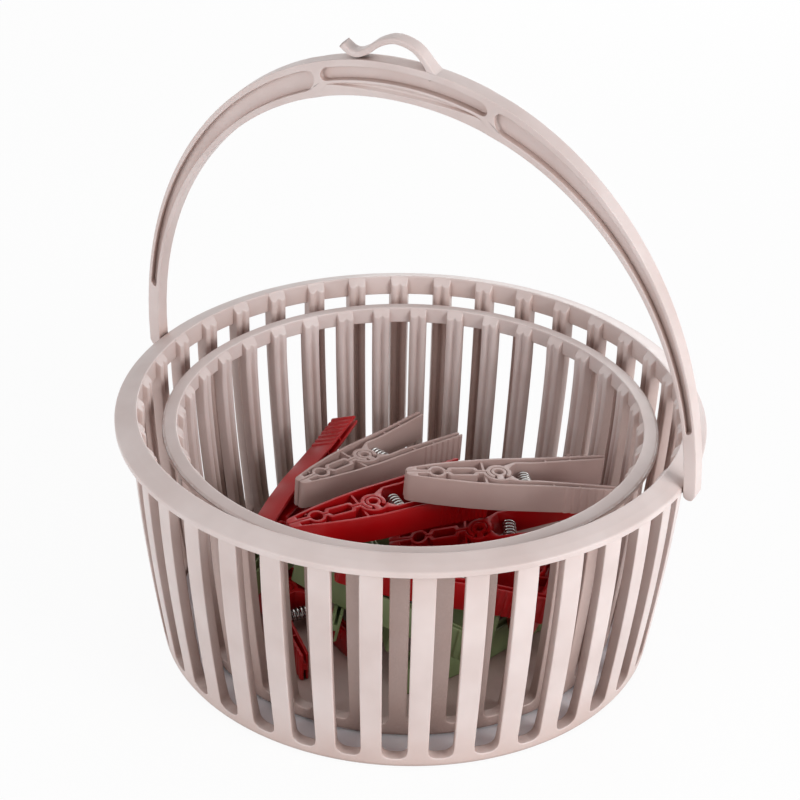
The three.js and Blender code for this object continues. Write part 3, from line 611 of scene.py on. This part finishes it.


# Painted light: the outer floor's upward faces take a whiter material where light shows between the walls.
def paint_floor_light(basket, b):
    basket.data.materials.append(painted_floor_light)
    for face in basket.data.polygons:
        on_floor = abs(face.center.z - b.floor * MM) < ON_FLOOR * MM
        face.material_index = int(face.normal.z > FACES_UP and on_floor)


outer_basket = mould_basket("outer_basket_moulding", OUTER, True)
paint_floor_light(outer_basket, OUTER)
liner = mould_basket("liner_moulding", LINER, False)
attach(outer_basket, "basket")
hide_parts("outer_basket")
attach(liner, "liner")
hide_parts("liner")
print("baskets:", len(outer_basket.data.polygons), "and", len(liner.data.polygons), "faces")

# %% [markdown]
# The bail is an arch between two rounded curves, wider at the grip than at the lugs, with round-ended pockets
# that leave flanges and two ribs. Pockets could be cut into a plain arch, but their rounded ends would leave
# slivers along the curves. Here lines run from the grip to the lug, each one a superellipse, and the pockets
# lie between them. Only a quarter is laid out, then mirrored twice.

# %% Lines along the bail
ARCH_IN, LUG_DEPTH, LUG_BELOW = 113, 4.8, 2.4
ARCH_RISE, ARCH_DEPTH, ARCH_POWER = 145, 13.9, 2.07
LUG_WIDTH, GRIP_WIDTH = 6, 6.2
FLANGE_OUT, FLANGE_IN, FLANGE_TOP, GRIP_FLANGE = 1.1, 1.5, 2.8, 6
POCKET_LINES = 11
SCOOP_SPREAD = (0.2, 0.36, 0.52, 0.68, 0.84)


def arch_angle(a, x):
    return np.arccos((np.abs(x) / a) ** (ARCH_POWER / 2))


def arch_at(a, b, t):
    share = 2 / ARCH_POWER
    return np.stack([a * np.abs(np.cos(t)) ** share, PIVOT_Z + b * np.abs(np.sin(t)) ** share], axis=-1)


def half_width(z):
    share = np.clip((z - PIVOT_Z) / ARCH_RISE, 0, 1)
    return (LUG_WIDTH + (GRIP_WIDTH - LUG_WIDTH) * share) / 2


def between(p, q, s):
    return p[0] + (q[0] - p[0]) * s, p[1] + (q[1] - p[1]) * s


def bail_lines():
    """Lines from the outer to the inner edge: the grip's arch, the leg's arch and the share of a pocket."""
    outer = (ARCH_IN + LUG_DEPTH, ARCH_RISE)
    inner = (ARCH_IN, ARCH_RISE - ARCH_DEPTH)
    top = (outer[0] - FLANGE_OUT, outer[1] - FLANGE_TOP)
    low_leg = (inner[0] + FLANGE_IN, inner[1] + FLANGE_TOP)
    low_grip = (inner[0] + FLANGE_IN, inner[1] + GRIP_FLANGE)
    lines = [(outer, outer, None)]
    for s in (1 - np.cos(np.linspace(0, math.pi, POCKET_LINES))) / 2:
        lines.append((between(top, low_grip, s), between(top, low_leg, s), s))
    for s in SCOOP_SPREAD:
        lines.append((between(low_grip, inner, s), between(low_leg, inner, s), None))
    lines.append((inner, inner, None))
    return lines


print("the bail is laid out on", len(bail_lines()), "lines")

# %% [markdown]
# Every line carries the same number of stations, so the pockets, the two ribs between them and the lug are
# runs of columns in one plan. At a pocket's ends the stations draw back along an arc, which makes the ends
# round. Under the middle pocket a shallow lens-shaped scoop takes the fingers. It could be cut with a ball,
# but moving the lines to its shape leaves no seam.

# %% Pockets, ribs and the scoop
RIB_AT, RIB_HALF = 34.4, 1.4
POCKET_DEPTH, POCKET_ROUND, POCKET_FOOT_RAD = 2.6, 3.9, 0.18
POCKET_FOOT, FOOT_MM_PER_RAD = 2.2, 156
LUG_TURNS, LUG_STEPS = (0.12, 0.06, 0), (0.5, 1)
GRIP_STATIONS, RIB_STATIONS, LEG_STATIONS = 15, 4, 34
SCOOP_DEPTH, SCOOP_SAG, SCOOP_BELOW = 1.3, 2.7, 1.1
SCOOP_LINES = (0, 0.25, 0.5, 0.75, 1)
SCOOP_BANK, SCOOP_POWER = 2.5, 2.5
PLAIN_BELOW, PLAIN_SAG = 1.2, 0.5


def round_end(share, height, radius):
    """How far a pocket's end draws back at a share of its height, for round corners."""
    radius = min(radius, height / 2)
    reach = max(abs(share - 0.5) * height - (height / 2 - radius), 0)
    return radius - math.sqrt(max(radius ** 2 - reach ** 2, 0))


def line_stations(grip, leg, share):
    """The points along one line: the grip, the rib, the leg and the lug."""
    share = 1 if share is None else share
    grip_draws = round_end(share, ARCH_DEPTH - FLANGE_TOP - GRIP_FLANGE, POCKET_ROUND)
    leg_draws = round_end(share, ARCH_DEPTH - 2 * FLANGE_TOP, POCKET_ROUND)
    foot = POCKET_FOOT_RAD + round_end(share, POCKET_FOOT, POCKET_FOOT / 2) / FOOT_MM_PER_RAD
    x_grip = np.linspace(0, RIB_AT - RIB_HALF - grip_draws, GRIP_STATIONS)
    x_leg = RIB_AT + RIB_HALF + leg_draws
    grip_points = np.stack([x_grip, arch_at(*grip, arch_angle(grip[0], x_grip))[:, 1]], axis=-1)
    turns = np.concatenate([np.linspace(arch_angle(leg[0], x_leg), foot, LEG_STATIONS), LUG_TURNS])
    leg_points = arch_at(*leg, turns)
    rib_points = np.linspace(grip_points[-1], (x_leg, leg_points[0, 1]), RIB_STATIONS)[1:-1]
    lug_r, x = LUG_DEPTH / 2, leg_points[-1, 0]
    off = x - (ARCH_IN + LUG_DEPTH / 2)
    end = PIVOT_Z - LUG_BELOW + lug_r - math.sqrt(max(lug_r ** 2 - off ** 2, 0))
    lug_points = np.array([[x, PIVOT_Z + (end - PIVOT_Z) * q] for q in LUG_STEPS])
    return np.concatenate([grip_points, rib_points, leg_points, lug_points])


def hollow_scoop(plan):
    """Moves the lines under the middle pocket to a lens shape, and gives how deep each point is dished."""
    grip = np.arange(plan.shape[1]) < GRIP_STATIONS
    low_edge = plan[POCKET_LINES]
    lens = np.where(grip, np.clip(1 - (low_edge[:, 0] / (RIB_AT - 2 * RIB_HALF)) ** 2, 0, 1), 0)
    top_edge = low_edge[:, 1] - np.where(lens > 0, SCOOP_BELOW, PLAIN_BELOW)
    dish = np.zeros(plan.shape[:2])
    for row, q in enumerate(SCOOP_LINES, start=POCKET_LINES + 1):
        plan[row, grip, 1] = (top_edge - q * np.maximum(SCOOP_SAG * lens, PLAIN_SAG))[grip]
        dish[row] = SCOOP_DEPTH * np.minimum(lens * SCOOP_BANK, 1) * (1 - abs(2 * q - 1) ** SCOOP_POWER)
    return dish


print("each line has", len(line_stations(*bail_lines()[0])), "stations")

# %% [markdown]
# The plan is flat, so it is given its width here: the face, the pockets sunk into it with their walls, and
# the edges that close it to the middle plane. Pushing faces inwards with an inset tool would do much the same
# by hand. Slicing the plan into runs keeps every pocket at the same depth.

# %% A quarter of the bail
ACROSS_EDGE = (1, 0.66, 0.33, 0)


def lay(flat, y):
    return np.stack([flat[..., 0], y, flat[..., 1]], axis=-1)


def bail_quarter():
    plan = np.stack([line_stations(*line) for line in bail_lines()])
    dish = hollow_scoop(plan)
    face = half_width(plan[..., 1])
    first, last = 1, POCKET_LINES
    grip_end, leg_start = GRIP_STATIONS - 1, GRIP_STATIONS + RIB_STATIONS - 2
    leg_end, lug_end = leg_start + LEG_STATIONS - 1, plan.shape[1] - 1
    grids = [lay(plan[:first + 1], face[:first + 1]), lay(plan[last:], (face - dish)[last:])]
    for a, b in ((grip_end, leg_start), (leg_end, lug_end)):
        grids.append(lay(plan[first:last + 1, a:b + 1], face[first:last + 1, a:b + 1]))
    for a, b in ((0, grip_end), (leg_start, leg_end)):
        flat, y = plan[first:last + 1, a:b + 1], face[first:last + 1, a:b + 1]
        grids.append(lay(flat, y - POCKET_DEPTH))
        edges = [(flat[0], y[0]), (flat[-1], y[-1]), (flat[:, -1], y[:, -1])]
        if a > 0:
            edges.append((flat[:, 0], y[:, 0]))
        for line, level in edges:
            grids.append(np.stack([lay(line, level), lay(line, level - POCKET_DEPTH)]))
    for flat, y in ((plan[0], face[0]), (plan[-1], face[-1]), (plan[:, -1], face[:, -1])):
        grids.append(np.stack([lay(flat, y * q) for q in ACROSS_EDGE]))
    return grids


print("a quarter of the bail is", len(bail_quarter()), "grids")

# %% [markdown]
# On top of the grip a springy hook is moulded, a strip that rises, bends over and ends in an upturned lip. A
# curve object with a bevel could follow it, but its section couldn't thicken at the root by itself. So a
# smooth line is drawn through a few points over the grip, and a rounded section is swept along it.

# %% The line hook
# Each point is a distance along the bail and a height over the top of the grip.
HOOK_POINTS = ((12.3, -2), (8.6, 2.9), (4.0, 6.8), (-3, 8.3), (-9.2, 6.4), (-14.2, 3.1), (-18.2, 1.7),
               (-21.4, 2.7), (-24.4, 5.4))
HOOK_STATIONS, STEPS_BETWEEN, CORNER_POINTS = 56, 24, 5
HOOK_THICK, ROOT_THICKER, ROOT_TAPER = 2.4, 2.0, 0.16
HOOK_WIDE, ROOT_WIDER, ROOT_NARROWS = 5.4, 0.8, 0.14
HOOK_ROUND, LEAST_FLAT = 0.7, 0.05


def grip_top(x):
    a, b = ARCH_IN + LUG_DEPTH, ARCH_RISE
    return float(arch_at(a, b, arch_angle(a, abs(x)))[1])


def through(points, steps):
    """A smooth line through the given points, evenly stepped."""
    p = np.array(points, float)
    p = np.vstack([2 * p[0] - p[1], p, 2 * p[-1] - p[-2]])
    out = []
    for i in range(1, len(p) - 2):
        p0, p1, p2, p3 = p[i - 1:i + 3]
        for s in np.linspace(0, 1, STEPS_BETWEEN, endpoint=False):
            out.append(0.5 * (2 * p1 + (p2 - p0) * s + (2 * p0 - 5 * p1 + 4 * p2 - p3) * s ** 2
                              + (3 * p1 - p0 - 3 * p2 + p3) * s ** 3))
    out = np.array(out + [p[-2]])
    far = np.concatenate([[0], np.cumsum(np.linalg.norm(np.diff(out, axis=0), axis=1))])
    at = np.linspace(0, far[-1], steps)
    return np.stack([np.interp(at, far, out[:, k]) for k in (0, 1)], axis=-1)


def add_strip(skin, line, thick, wide, round_r):
    """A strip with rounded edges along a line in the XZ plane, its thickness and width given per station."""
    section = [(cx, cy, math.cos(a), math.sin(a))
               for cx, cy, start in ((1, 1, 0), (-1, 1, 90), (-1, -1, 180), (1, -1, 270))
               for a in np.radians(np.linspace(start, start + 90, CORNER_POINTS))]
    tangent = np.gradient(line, axis=0)
    tangent /= np.linalg.norm(tangent, axis=1)[:, None]
    rings = []
    for (x, z), (tx, tz), t, w in zip(line, tangent, thick, wide):
        r = min(round_r, t / 2 - LEAST_FLAT)
        ring = []
        for cx, cy, ca, sa in section:
            u = cx * (t / 2 - r) + r * ca
            v = cy * (w / 2 - r) + r * sa
            ring.append(skin.verts.new(((x - tz * u) * MM, v * MM, (z + tx * u) * MM)))
        rings.append(ring)
    join_rings(skin, rings)
    skin.faces.new(rings[0][::-1])
    skin.faces.new(rings[-1])


def add_hook(skin):
    line = through([(x, grip_top(x) + rise) for x, rise in HOOK_POINTS], HOOK_STATIONS)
    along = np.linspace(0, 1, HOOK_STATIONS)
    thick = HOOK_THICK + ROOT_THICKER * np.clip(1 - along / ROOT_TAPER, 0, 1) ** 2
    wide = HOOK_WIDE + ROOT_WIDER * np.clip(1 - along / ROOT_NARROWS, 0, 1) ** 2
    add_strip(skin, line, thick, wide, HOOK_ROUND)


print("the top of the grip is at a height of", round(grip_top(0), 1), "mm")

# %% [markdown]
# The quarter is mirrored and sewn, its edges are eased, and the hook and the two pins are added. The pins
# could be pieces of their own, but they are taken to be one moulding with the bail. In the photo it stands a
# little off upright, so the whole piece leans about the pivots.

# %% Moulding the bail
BAIL_ROUND, BAIL_LEAN = 0.28, 4.2
PIN_TIP, PIN_ROOT = 103.4, 115.6


def mould_bail():
    grids = bail_quarter()
    for flip in ((-1, 1, 1), (1, -1, 1)):
        grids += [g * np.array(flip) for g in grids]
    skin = sewn(grids)
    round_over(skin, BAIL_ROUND)
    add_hook(skin)
    for side in (-1, 1):
        add_rod(skin, side, PIN_TIP, PIN_ROOT, PIN_R)
    bmesh.ops.rotate(skin, cent=(0, 0, PIVOT_Z * MM), matrix=Matrix.Rotation(math.radians(BAIL_LEAN), 3, "X"),
                     verts=skin.verts)
    return even_shading(new_piece("bail_moulding", to_mesh(skin, "bail_moulding"), taupe))


bail = mould_bail()
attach(bail, "handle")
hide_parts("bail_handle")
print("bail:", len(bail.data.polygons), "faces, leaning", BAIL_LEAN, "degrees")

# %% [markdown]
# A peg is two moulded legs that meet at the jaw, and a spring that pushes their tails apart. One leg carries
# an open ring, the other a knuckle that turns in it. A leg could be sculpted, but its outline is the same all
# the way through, so it is drawn once, flat, with arcs for the notches and the fulcrum. X runs from the jaw
# to the tail.

# %% What both outlines share
PEG_LENGTH, PEG_WIDTH, FULCRUM_AT = 80, 11.5, 36
JAW_Y, WALL, WEB = 0.15, 1.15, 2.6
NOTCH_AT, NOTCH_R, NOTCH_STEPS = 12, 2.4, 10
LONG_FROM, LONG_TO, LONG_DEEP = 17.2, 26.8, 1.75
LONG_STEP, LONG_STEP_UP, LONG_RAMP = 0.25, 0.9, 1.0
SEAT_AT, SEAT_END, SEAT_Y = 47, 50.5, 6
SEAT_FRONT = ((41.9, 4.4), (43.5, SEAT_Y))
TAIL_SPREAD, TAIL_ROUND, TAIL_TOP = 9.6, 0.8, 12.6
FINGER_RIBS, RIB_FIRST, RIB_PITCH = 7, 79.0, 2.9
RIBS_HIGH, RIBS_HIGH_AT, RIBS_FALL = 13.4, 79.3, 0.109
RIB_SHAPE = ((0, 0), (1.0, 0.1), (1.55, 0.62), (2.4, 0.5))
PLAIN_BACK = ((SEAT_END, 10.5), (36, 9.8), (23.8, 8.2), (12, 5.9))
NOSE = ((1.6, 3.1), (0.5, 2.4), (0, 1.3), (0.15, 0.5), (0.6, JAW_Y))


def arc(cx, cy, r, start, end, steps):
    turn = np.radians(np.linspace(start, end, steps + 1))
    return [(cx + r * math.cos(a), cy + r * math.sin(a)) for a in turn]


def jaw_edge(end_x, off):
    """The jaw's edge, or the hollow's edge at a distance off it: a round notch and a long one behind it."""
    y, r = JAW_Y + off, NOTCH_R + off
    lean = math.degrees(math.asin(min(off / r, 1)))
    start, end, deep = LONG_FROM - off, LONG_TO + off, JAW_Y + LONG_DEEP + off
    return [*arc(NOTCH_AT, JAW_Y, r, 180 - lean, lean, NOTCH_STEPS),
            (start, y), (start + LONG_STEP, y + LONG_STEP_UP), (start + LONG_RAMP, deep),
            (end - LONG_RAMP, deep), (end - LONG_STEP, y + LONG_STEP_UP), (end, y), (end_x, y)]


def finger_ribs():
    """The ribs that fingers hold, on the tail's outer face from its end."""
    points = []
    for i in range(FINGER_RIBS):
        x = RIB_FIRST - i * RIB_PITCH
        high = RIBS_HIGH - (RIBS_HIGH_AT - x) * RIBS_FALL
        points += [(x - along, high - drop) for along, drop in RIB_SHAPE]
    return points


def leg_back(off):
    return [(x, y - off) for x, y in PLAIN_BACK]


def tail_and_back():
    return [*SEAT_FRONT, (SEAT_END, SEAT_Y), (PEG_LENGTH - TAIL_ROUND, TAIL_SPREAD),
            (PEG_LENGTH, TAIL_SPREAD + TAIL_ROUND), (PEG_LENGTH, TAIL_TOP),
            *finger_ribs(), *leg_back(0), *NOSE]


print("tail and back of a leg:", len(tail_and_back()), "points")

# %% [markdown]
# At the fulcrum the two legs differ. The ring is open far enough for the knuckle's neck to swing as the peg
# is squeezed. To save plastic, both sides of a leg are hollowed out so that thin walls stand on a web. The
# hollow could be an inset of the outline, but it must stay open at the tail, so it has an outline of its own
# at one wall's distance.

# %% Ring, knuckle and hollow
KNUCKLE_R, FULCRUM_PLAY, RING_WALL, NECK_HALF = 3, 0.3, 1.6, 1.3
SQUEEZE_DEG, MOUTH_EASE_DEG = 16, 8
RING_IN = KNUCKLE_R + FULCRUM_PLAY
RING_OUT = RING_IN + RING_WALL
RING_CLEAR = KNUCKLE_R + RING_WALL + 2 * FULCRUM_PLAY
# Where the arcs about the fulcrum leave the jaw's edge, the seat and the hollow, in degrees.
RING_FRONT, RING_BACK, CLEAR_FRONT, CLEAR_BACK, HOLLOW_BACK = 190, 25, 176, 30, 62
FULCRUM_STEPS, SIDE_STEPS, NECK_STEPS, HOLLOW_STEPS = 24, 8, 9, 14
JAW_OVERLAP = 0.05
HOLLOW_NOSE, HOLLOW_NOSE_TOP = 4.4, 3.0
HOLLOW_SEAT, HOLLOW_SEAT_FRONT, HOLLOW_SEAT_DIP = 43.9, 42.6, 0.4
# The hollow runs out past the tail's end, which leaves it open there.
HOLLOW_TAIL = ((82, 11.05), (82, 12.2), (66, 10.75))


def around_fulcrum(r, start, end, steps):
    return arc(FULCRUM_AT, 0, r, start, end, steps)


def half_angle(opening, r):
    return math.degrees(math.asin(opening / r))


def ring_leg_outline():
    swing = half_angle(NECK_HALF, RING_IN) + MOUTH_EASE_DEG
    left, right = 270 - swing, SQUEEZE_DEG - 90 + swing
    return [*jaw_edge(FULCRUM_AT - RING_OUT + JAW_OVERLAP, 0),
            *around_fulcrum(RING_OUT, RING_FRONT, left, SIDE_STEPS),
            *around_fulcrum(RING_IN, left, right, FULCRUM_STEPS),
            *around_fulcrum(RING_OUT, right, RING_BACK, SIDE_STEPS), *tail_and_back()]


def knuckle_leg_outline():
    neck, disk = half_angle(NECK_HALF, RING_CLEAR), half_angle(NECK_HALF, KNUCKLE_R)
    return [*jaw_edge(FULCRUM_AT - RING_CLEAR - JAW_OVERLAP, 0),
            *around_fulcrum(RING_CLEAR, CLEAR_FRONT, 90 + neck, NECK_STEPS),
            *around_fulcrum(KNUCKLE_R, 90 + disk, 450 - disk, FULCRUM_STEPS),
            *around_fulcrum(RING_CLEAR, 90 - neck, CLEAR_BACK, SIDE_STEPS), *tail_and_back()]


def hollow_outline(fulcrum_r):
    """The hollow between a leg's walls, open at the tail's end."""
    low, seat = JAW_Y + WALL, SEAT_Y + WALL
    start = half_angle(low, fulcrum_r)
    front = FULCRUM_AT - fulcrum_r * math.cos(math.radians(start))
    return [(HOLLOW_NOSE, low), *jaw_edge(front, WALL)[:-1],
            *around_fulcrum(fulcrum_r, 180 - start, HOLLOW_BACK, HOLLOW_STEPS),
            (HOLLOW_SEAT_FRONT, seat - HOLLOW_SEAT_DIP), (HOLLOW_SEAT, seat), (SEAT_END, seat),
            *HOLLOW_TAIL, *leg_back(WALL), (HOLLOW_NOSE, HOLLOW_NOSE_TOP)]


print("outlines of the legs:", len(ring_leg_outline()), "and", len(knuckle_leg_outline()), "points")

# %% [markdown]
# The flat outline is made solid, the hollow is cut from both sides, and small cross ribs are set on the web.
# A solidify modifier on open walls could come close, but wouldn't leave the web between them. The two legs
# are made once and copied for every peg.

# %% Moulding the legs
LEG_ROUND, LEG_SHARP_DEG, CREASE_DEG, SAME_PLANE_RAD = 0.22, 40, 32, 0.01
EYE_R, EYE_SIDES = 1.75, 24
# Each cross rib is its place along the leg, its foot and its top.
CROSS_RIBS = ((9.0, 3.0, 4.6), (30.4, 1.0, 8.2), (56.0, 7.2, 10.2), (66.0, 8.6, 11.0))
RIB_THIN, RIB_SUNK, RIB_BELOW = 0.45, 0.2, 0.6


def prism(skin, outline, z0, z1):
    """A flat outline (points in mm) made solid between two heights."""
    low = [skin.verts.new((x * MM, y * MM, z0 * MM)) for x, y in outline]
    high = [skin.verts.new((x * MM, y * MM, z1 * MM)) for x, y in outline]
    skin.faces.new(low[::-1])
    skin.faces.new(high)
    join_rings(skin, [low, high])


def mould_leg(outline, hollow, knuckle):
    half = PEG_WIDTH / 2
    body, cutter = bmesh.new(), bmesh.new()
    prism(body, outline, -half, half)
    for z0, z1 in ((WEB / 2, PEG_WIDTH), (-PEG_WIDTH, -WEB / 2)):
        prism(cutter, hollow, z0, z1)
        if knuckle:
            prism(cutter, around_fulcrum(EYE_R, 0, 360 - 360 / EYE_SIDES, EYE_SIDES - 1), z0, z1)
    for skin in (body, cutter):
        bmesh.ops.recalc_face_normals(skin, faces=skin.faces)
    leg = carve(to_mesh(body, "plain leg"), to_mesh(cutter, "hollow"))
    bmesh.ops.dissolve_limit(leg, angle_limit=SAME_PLANE_RAD, verts=leg.verts, edges=leg.edges)
    round_over(leg, LEG_ROUND, sharper_than=LEG_SHARP_DEG, inner_too=True)
    for x, low, high in CROSS_RIBS:
        rib = [(x - RIB_THIN, low), (x + RIB_THIN, low), (x + RIB_THIN, high), (x - RIB_THIN, high)]
        prism(leg, rib, WEB / 2 - RIB_SUNK, half - RIB_BELOW)
        prism(leg, rib, RIB_BELOW - half, RIB_SUNK - WEB / 2)
    if knuckle:
        for v in leg.verts:
            v.co.y = -v.co.y
        bmesh.ops.reverse_faces(leg, faces=leg.faces)
    mesh = to_mesh(leg, "peg_leg")
    mesh.set_sharp_from_angle(angle=math.radians(CREASE_DEG))
    return mesh


LEGS = {"ring_leg": mould_leg(ring_leg_outline(), hollow_outline(RING_OUT), False),
        "knuckle_leg": mould_leg(knuckle_leg_outline(), hollow_outline(RING_CLEAR + WALL), True)}
print("faces of the legs:", {kind: len(mesh.polygons) for kind, mesh in LEGS.items()})

# %% [markdown]
# The spring is a coil of wire, seated between the tails. A screw modifier on a circle would wind it, but the
# number of curls and the clear space at the seats are easier to hold when a formula places the wire's rings.

# %% Winding the spring
WIRE, COIL_R, CURLS, SEAT_CLEAR = 0.8, 2.4, 6.5, 0.3
CURL_STEPS, WIRE_SIDES = 22, 8


def wind_spring():
    """An evenly wound coil that ends a little short of both seats."""
    end = SEAT_Y - SEAT_CLEAR - WIRE / 2
    skin = bmesh.new()
    steps = int(CURLS * CURL_STEPS)
    along = Vector((0, 1, 0))
    rings = []
    for i in range(steps + 1):
        s = i / steps
        a = s * CURLS * 2 * math.pi
        out = Vector((math.cos(a), 0, math.sin(a)))
        middle = Vector((SEAT_AT, -end + 2 * end * s, 0)) + COIL_R * out
        turns = [2 * math.pi * k / WIRE_SIDES for k in range(WIRE_SIDES)]
        rings.append([skin.verts.new((middle + WIRE / 2 * (math.cos(b) * out + math.sin(b) * along)) * MM)
                      for b in turns])
    join_rings(skin, rings)
    skin.faces.new(rings[0][::-1])
    skin.faces.new(rings[-1])
    bmesh.ops.recalc_face_normals(skin, faces=skin.faces)
    return to_mesh(skin, "spring")


SPRING = wind_spring()
print("spring:", CURLS, "curls,", len(SPRING.polygons), "faces")

# %% [markdown]
# In the frame every peg already lies where it came to rest in the pile. Its place could be copied as numbers.
# Reading it from the peg's hinge and spring keeps this script right when the pile changes. The knuckle leg
# rides on its own body, so the peg opens, and the coil rides with the ring leg.

# %% Laying the pegs
SLOT_OF = {part["node"]: part["material_slot"] for part in frame["record"]["subparts"]}


def peg_place(number):
    """How a peg lies: its hinge gives the fulcrum and the axis, and its spring shows where the tail is."""
    hinge = next(j for j in frame["joints"] if j["name"] == f"peg_{number}_squeeze")
    fulcrum, up = Vector(hinge["pos_m"]), Vector(hinge["axis"]).normalized()
    wire = frame["nodes"][f"peg_{number}_spring"].data.vertices
    seat = sum((v.co for v in wire), Vector()) / len(wire)
    along = seat - fulcrum
    along = (along - along.dot(up) * up).normalized()
    turn = Matrix((along, up.cross(along), up)).transposed().to_4x4()
    return Matrix.Translation(fulcrum) @ turn @ Matrix.Translation((-FULCRUM_AT * MM, 0, 0))


def lay_peg(number):
    place = peg_place(number)
    slot = SLOT_OF[f"peg_{number}_ring_leg"]
    for kind, body in (("ring_leg", "pegs"), ("knuckle_leg", f"peg_{number}_leg")):
        leg = new_piece(f"peg_{number}_{kind}_moulding", LEGS[kind].copy(), PLASTIC[slot])
        leg.matrix_world = place
        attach(leg, body)
        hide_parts(f"peg_{number}_{kind}")
    spring = new_piece(f"peg_{number}_coil", SPRING.copy(), spring_wire)
    spring.data.transform(place)
    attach(spring, "pegs")
    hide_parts(f"peg_{number}_spring")
    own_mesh(spring)


peg_numbers = [j["name"].split("_")[1] for j in frame["joints"] if j["name"].endswith("_squeeze")]
for peg_number in peg_numbers:
    lay_peg(peg_number)
print("pegs:", len(peg_numbers))

# %% [markdown]
# The photo has a white ground with a soft shadow under the basket. A plain white floor would either go grey
# or lose its shadow. So the floor is mostly a glow to the camera and in reflections, with a share of matt
# paper that keeps the shadow. The room is white where it is seen, and dimmer as a light.

# %% Floor and room
FLOOR_HALF, FLOOR_BELOW, FLOOR_CLOUD = 4000, 0.2, 300
GLOW_SHARE, ROOM_FILL = 0.93, 0.44
WHITE = (1, 1, 1, 1)


def seen_directly(tree):
    """1 for what the camera sees straight, in a reflection or through glass, and 0 for light on its way."""
    path = add_node(tree, "ShaderNodeLightPath").outputs
    mirrored = add_node(tree, "ShaderNodeMath", {0: path["Is Camera Ray"], 1: path["Is Glossy Ray"]},
                        operation="MAXIMUM")
    return add_node(tree, "ShaderNodeMath", {0: mirrored.outputs["Value"], 1: path["Is Transmission Ray"]},
                    operation="MAXIMUM").outputs["Value"]


def pale_floor():
    grid = np.zeros((2, 2, 3))
    grid[..., 0], grid[..., 1] = np.meshgrid([-FLOOR_HALF, FLOOR_HALF], [-FLOOR_HALF, FLOOR_HALF])
    material, tree = fresh_material("pale studio floor")
    where = add_node(tree, "ShaderNodeTexCoord").outputs["Object"]
    cloud = add_node(tree, "ShaderNodeTexNoise", {"Vector": where}, Scale=1 / (FLOOR_CLOUD * MM), Detail=2.0)
    tone = add_node(tree, "ShaderNodeValToRGB", {"Fac": cloud.outputs["Fac"]})
    set_tones(tone, NOISE_ENDS, ("#ebebeb", "#f0f0f0"))
    paper = add_node(tree, "ShaderNodeBsdfDiffuse", {"Color": tone.outputs["Color"]})
    white = add_node(tree, "ShaderNodeEmission", Color=WHITE, Strength=1.0)
    share = add_node(tree, "ShaderNodeMath", {0: seen_directly(tree)}, operation="MULTIPLY")
    share.inputs[1].default_value = GLOW_SHARE
    mix = add_node(tree, "ShaderNodeMixShader", {"Fac": share.outputs["Value"], 1: paper.outputs["BSDF"],
                                                 2: white.outputs["Emission"]})
    add_node(tree, "ShaderNodeOutputMaterial", {"Surface": mix.outputs["Shader"]})
    floor = new_piece("studio_floor", to_mesh(sewn([grid]), "studio_floor"), material)
    floor.location.z = -FLOOR_BELOW * MM
    return floor


def studio_world(fill):
    world = bpy.data.worlds.new("white studio")
    bpy.context.scene.world = world
    world.use_nodes = True
    tree = world.node_tree
    tree.nodes.clear()
    room = add_node(tree, "ShaderNodeBackground", Color=WHITE, Strength=fill)
    white = add_node(tree, "ShaderNodeBackground", Color=WHITE, Strength=1.0)
    mix = add_node(tree, "ShaderNodeMixShader", {"Fac": seen_directly(tree), 1: room.outputs["Background"],
                                                 2: white.outputs["Background"]})
    add_node(tree, "ShaderNodeOutputWorld", {"Surface": mix.outputs["Shader"]})


pale_floor()
studio_world(ROOM_FILL)
print("the floor glows by", GLOW_SHARE, "and the room lights by", ROOM_FILL)

# %% [markdown]
# In the photo the upright faces on the right are the brightest, and the inside stays dark. One lamp overhead
# would do the opposite. So the key is a broad panel low on the right, a weaker one lights the front from the
# left, one behind keeps the far slats from going black, and a faint one overhead lifts the tops.

# %% Light panels
LIT_AT = Vector((0, 0, 60))
# Each panel is its name, place, width, height and power in watts.
PANELS = (("key panel", (1180, -160, 460), 700, 600, 11.5),
          ("front panel", (-420, -1140, 360), 600, 600, 5.5),
          ("top panel", (-100, 400, 1200), 700, 700, 1.0),
          ("back panel", (-300, 1140, 420), 700, 600, 4))

scene = bpy.context.scene
for panel, place, width, height, power in PANELS:
    lamp = bpy.data.lights.new(panel, "AREA")
    lamp.shape, lamp.size, lamp.size_y, lamp.energy = "RECTANGLE", width * MM, height * MM, power
    holder = bpy.data.objects.new(panel, lamp)
    scene.collection.objects.link(holder)
    holder.location = Vector(place) * MM
    holder.rotation_euler = (LIT_AT - Vector(place)).to_track_quat("-Z", "Y").to_euler()
scene.view_settings.view_transform = "Standard"
print("panels:", len(PANELS), "with", sum(panel[-1] for panel in PANELS), "W in all")

# %% [markdown]
# The photo looks down by some thirty degrees, with the bail running from left to right and a little towards
# the camera. A short lens close by would spread the front of the rim. A long lens from further off was
# chosen, rolled by the small angle at which the photo is tilted.

# %% Camera
LENS_LENGTH, FILM_WIDTH, SEES_TO = 98.0, 36, 20
STANDS_AT, LOOKS_AT = Vector((332, -638.8, 516.5)), Vector((-3.7, -1.98, 99.6))
ROLL_DEG = 1.34

lens = bpy.data.cameras.new("photo lens")
lens.lens, lens.sensor_width, lens.clip_end = LENS_LENGTH, FILM_WIDTH, SEES_TO
camera = bpy.data.objects.new("camera", lens)
scene.collection.objects.link(camera)
camera.location = STANDS_AT * MM
look = (LOOKS_AT * MM - camera.location).to_track_quat("-Z", "Y").to_matrix().to_4x4()
camera.rotation_euler = (look @ Matrix.Rotation(math.radians(ROLL_DEG), 4, "Z")).to_euler()
scene.camera = camera
print("the camera stands", round((STANDS_AT - LOOKS_AT).length), "mm away")
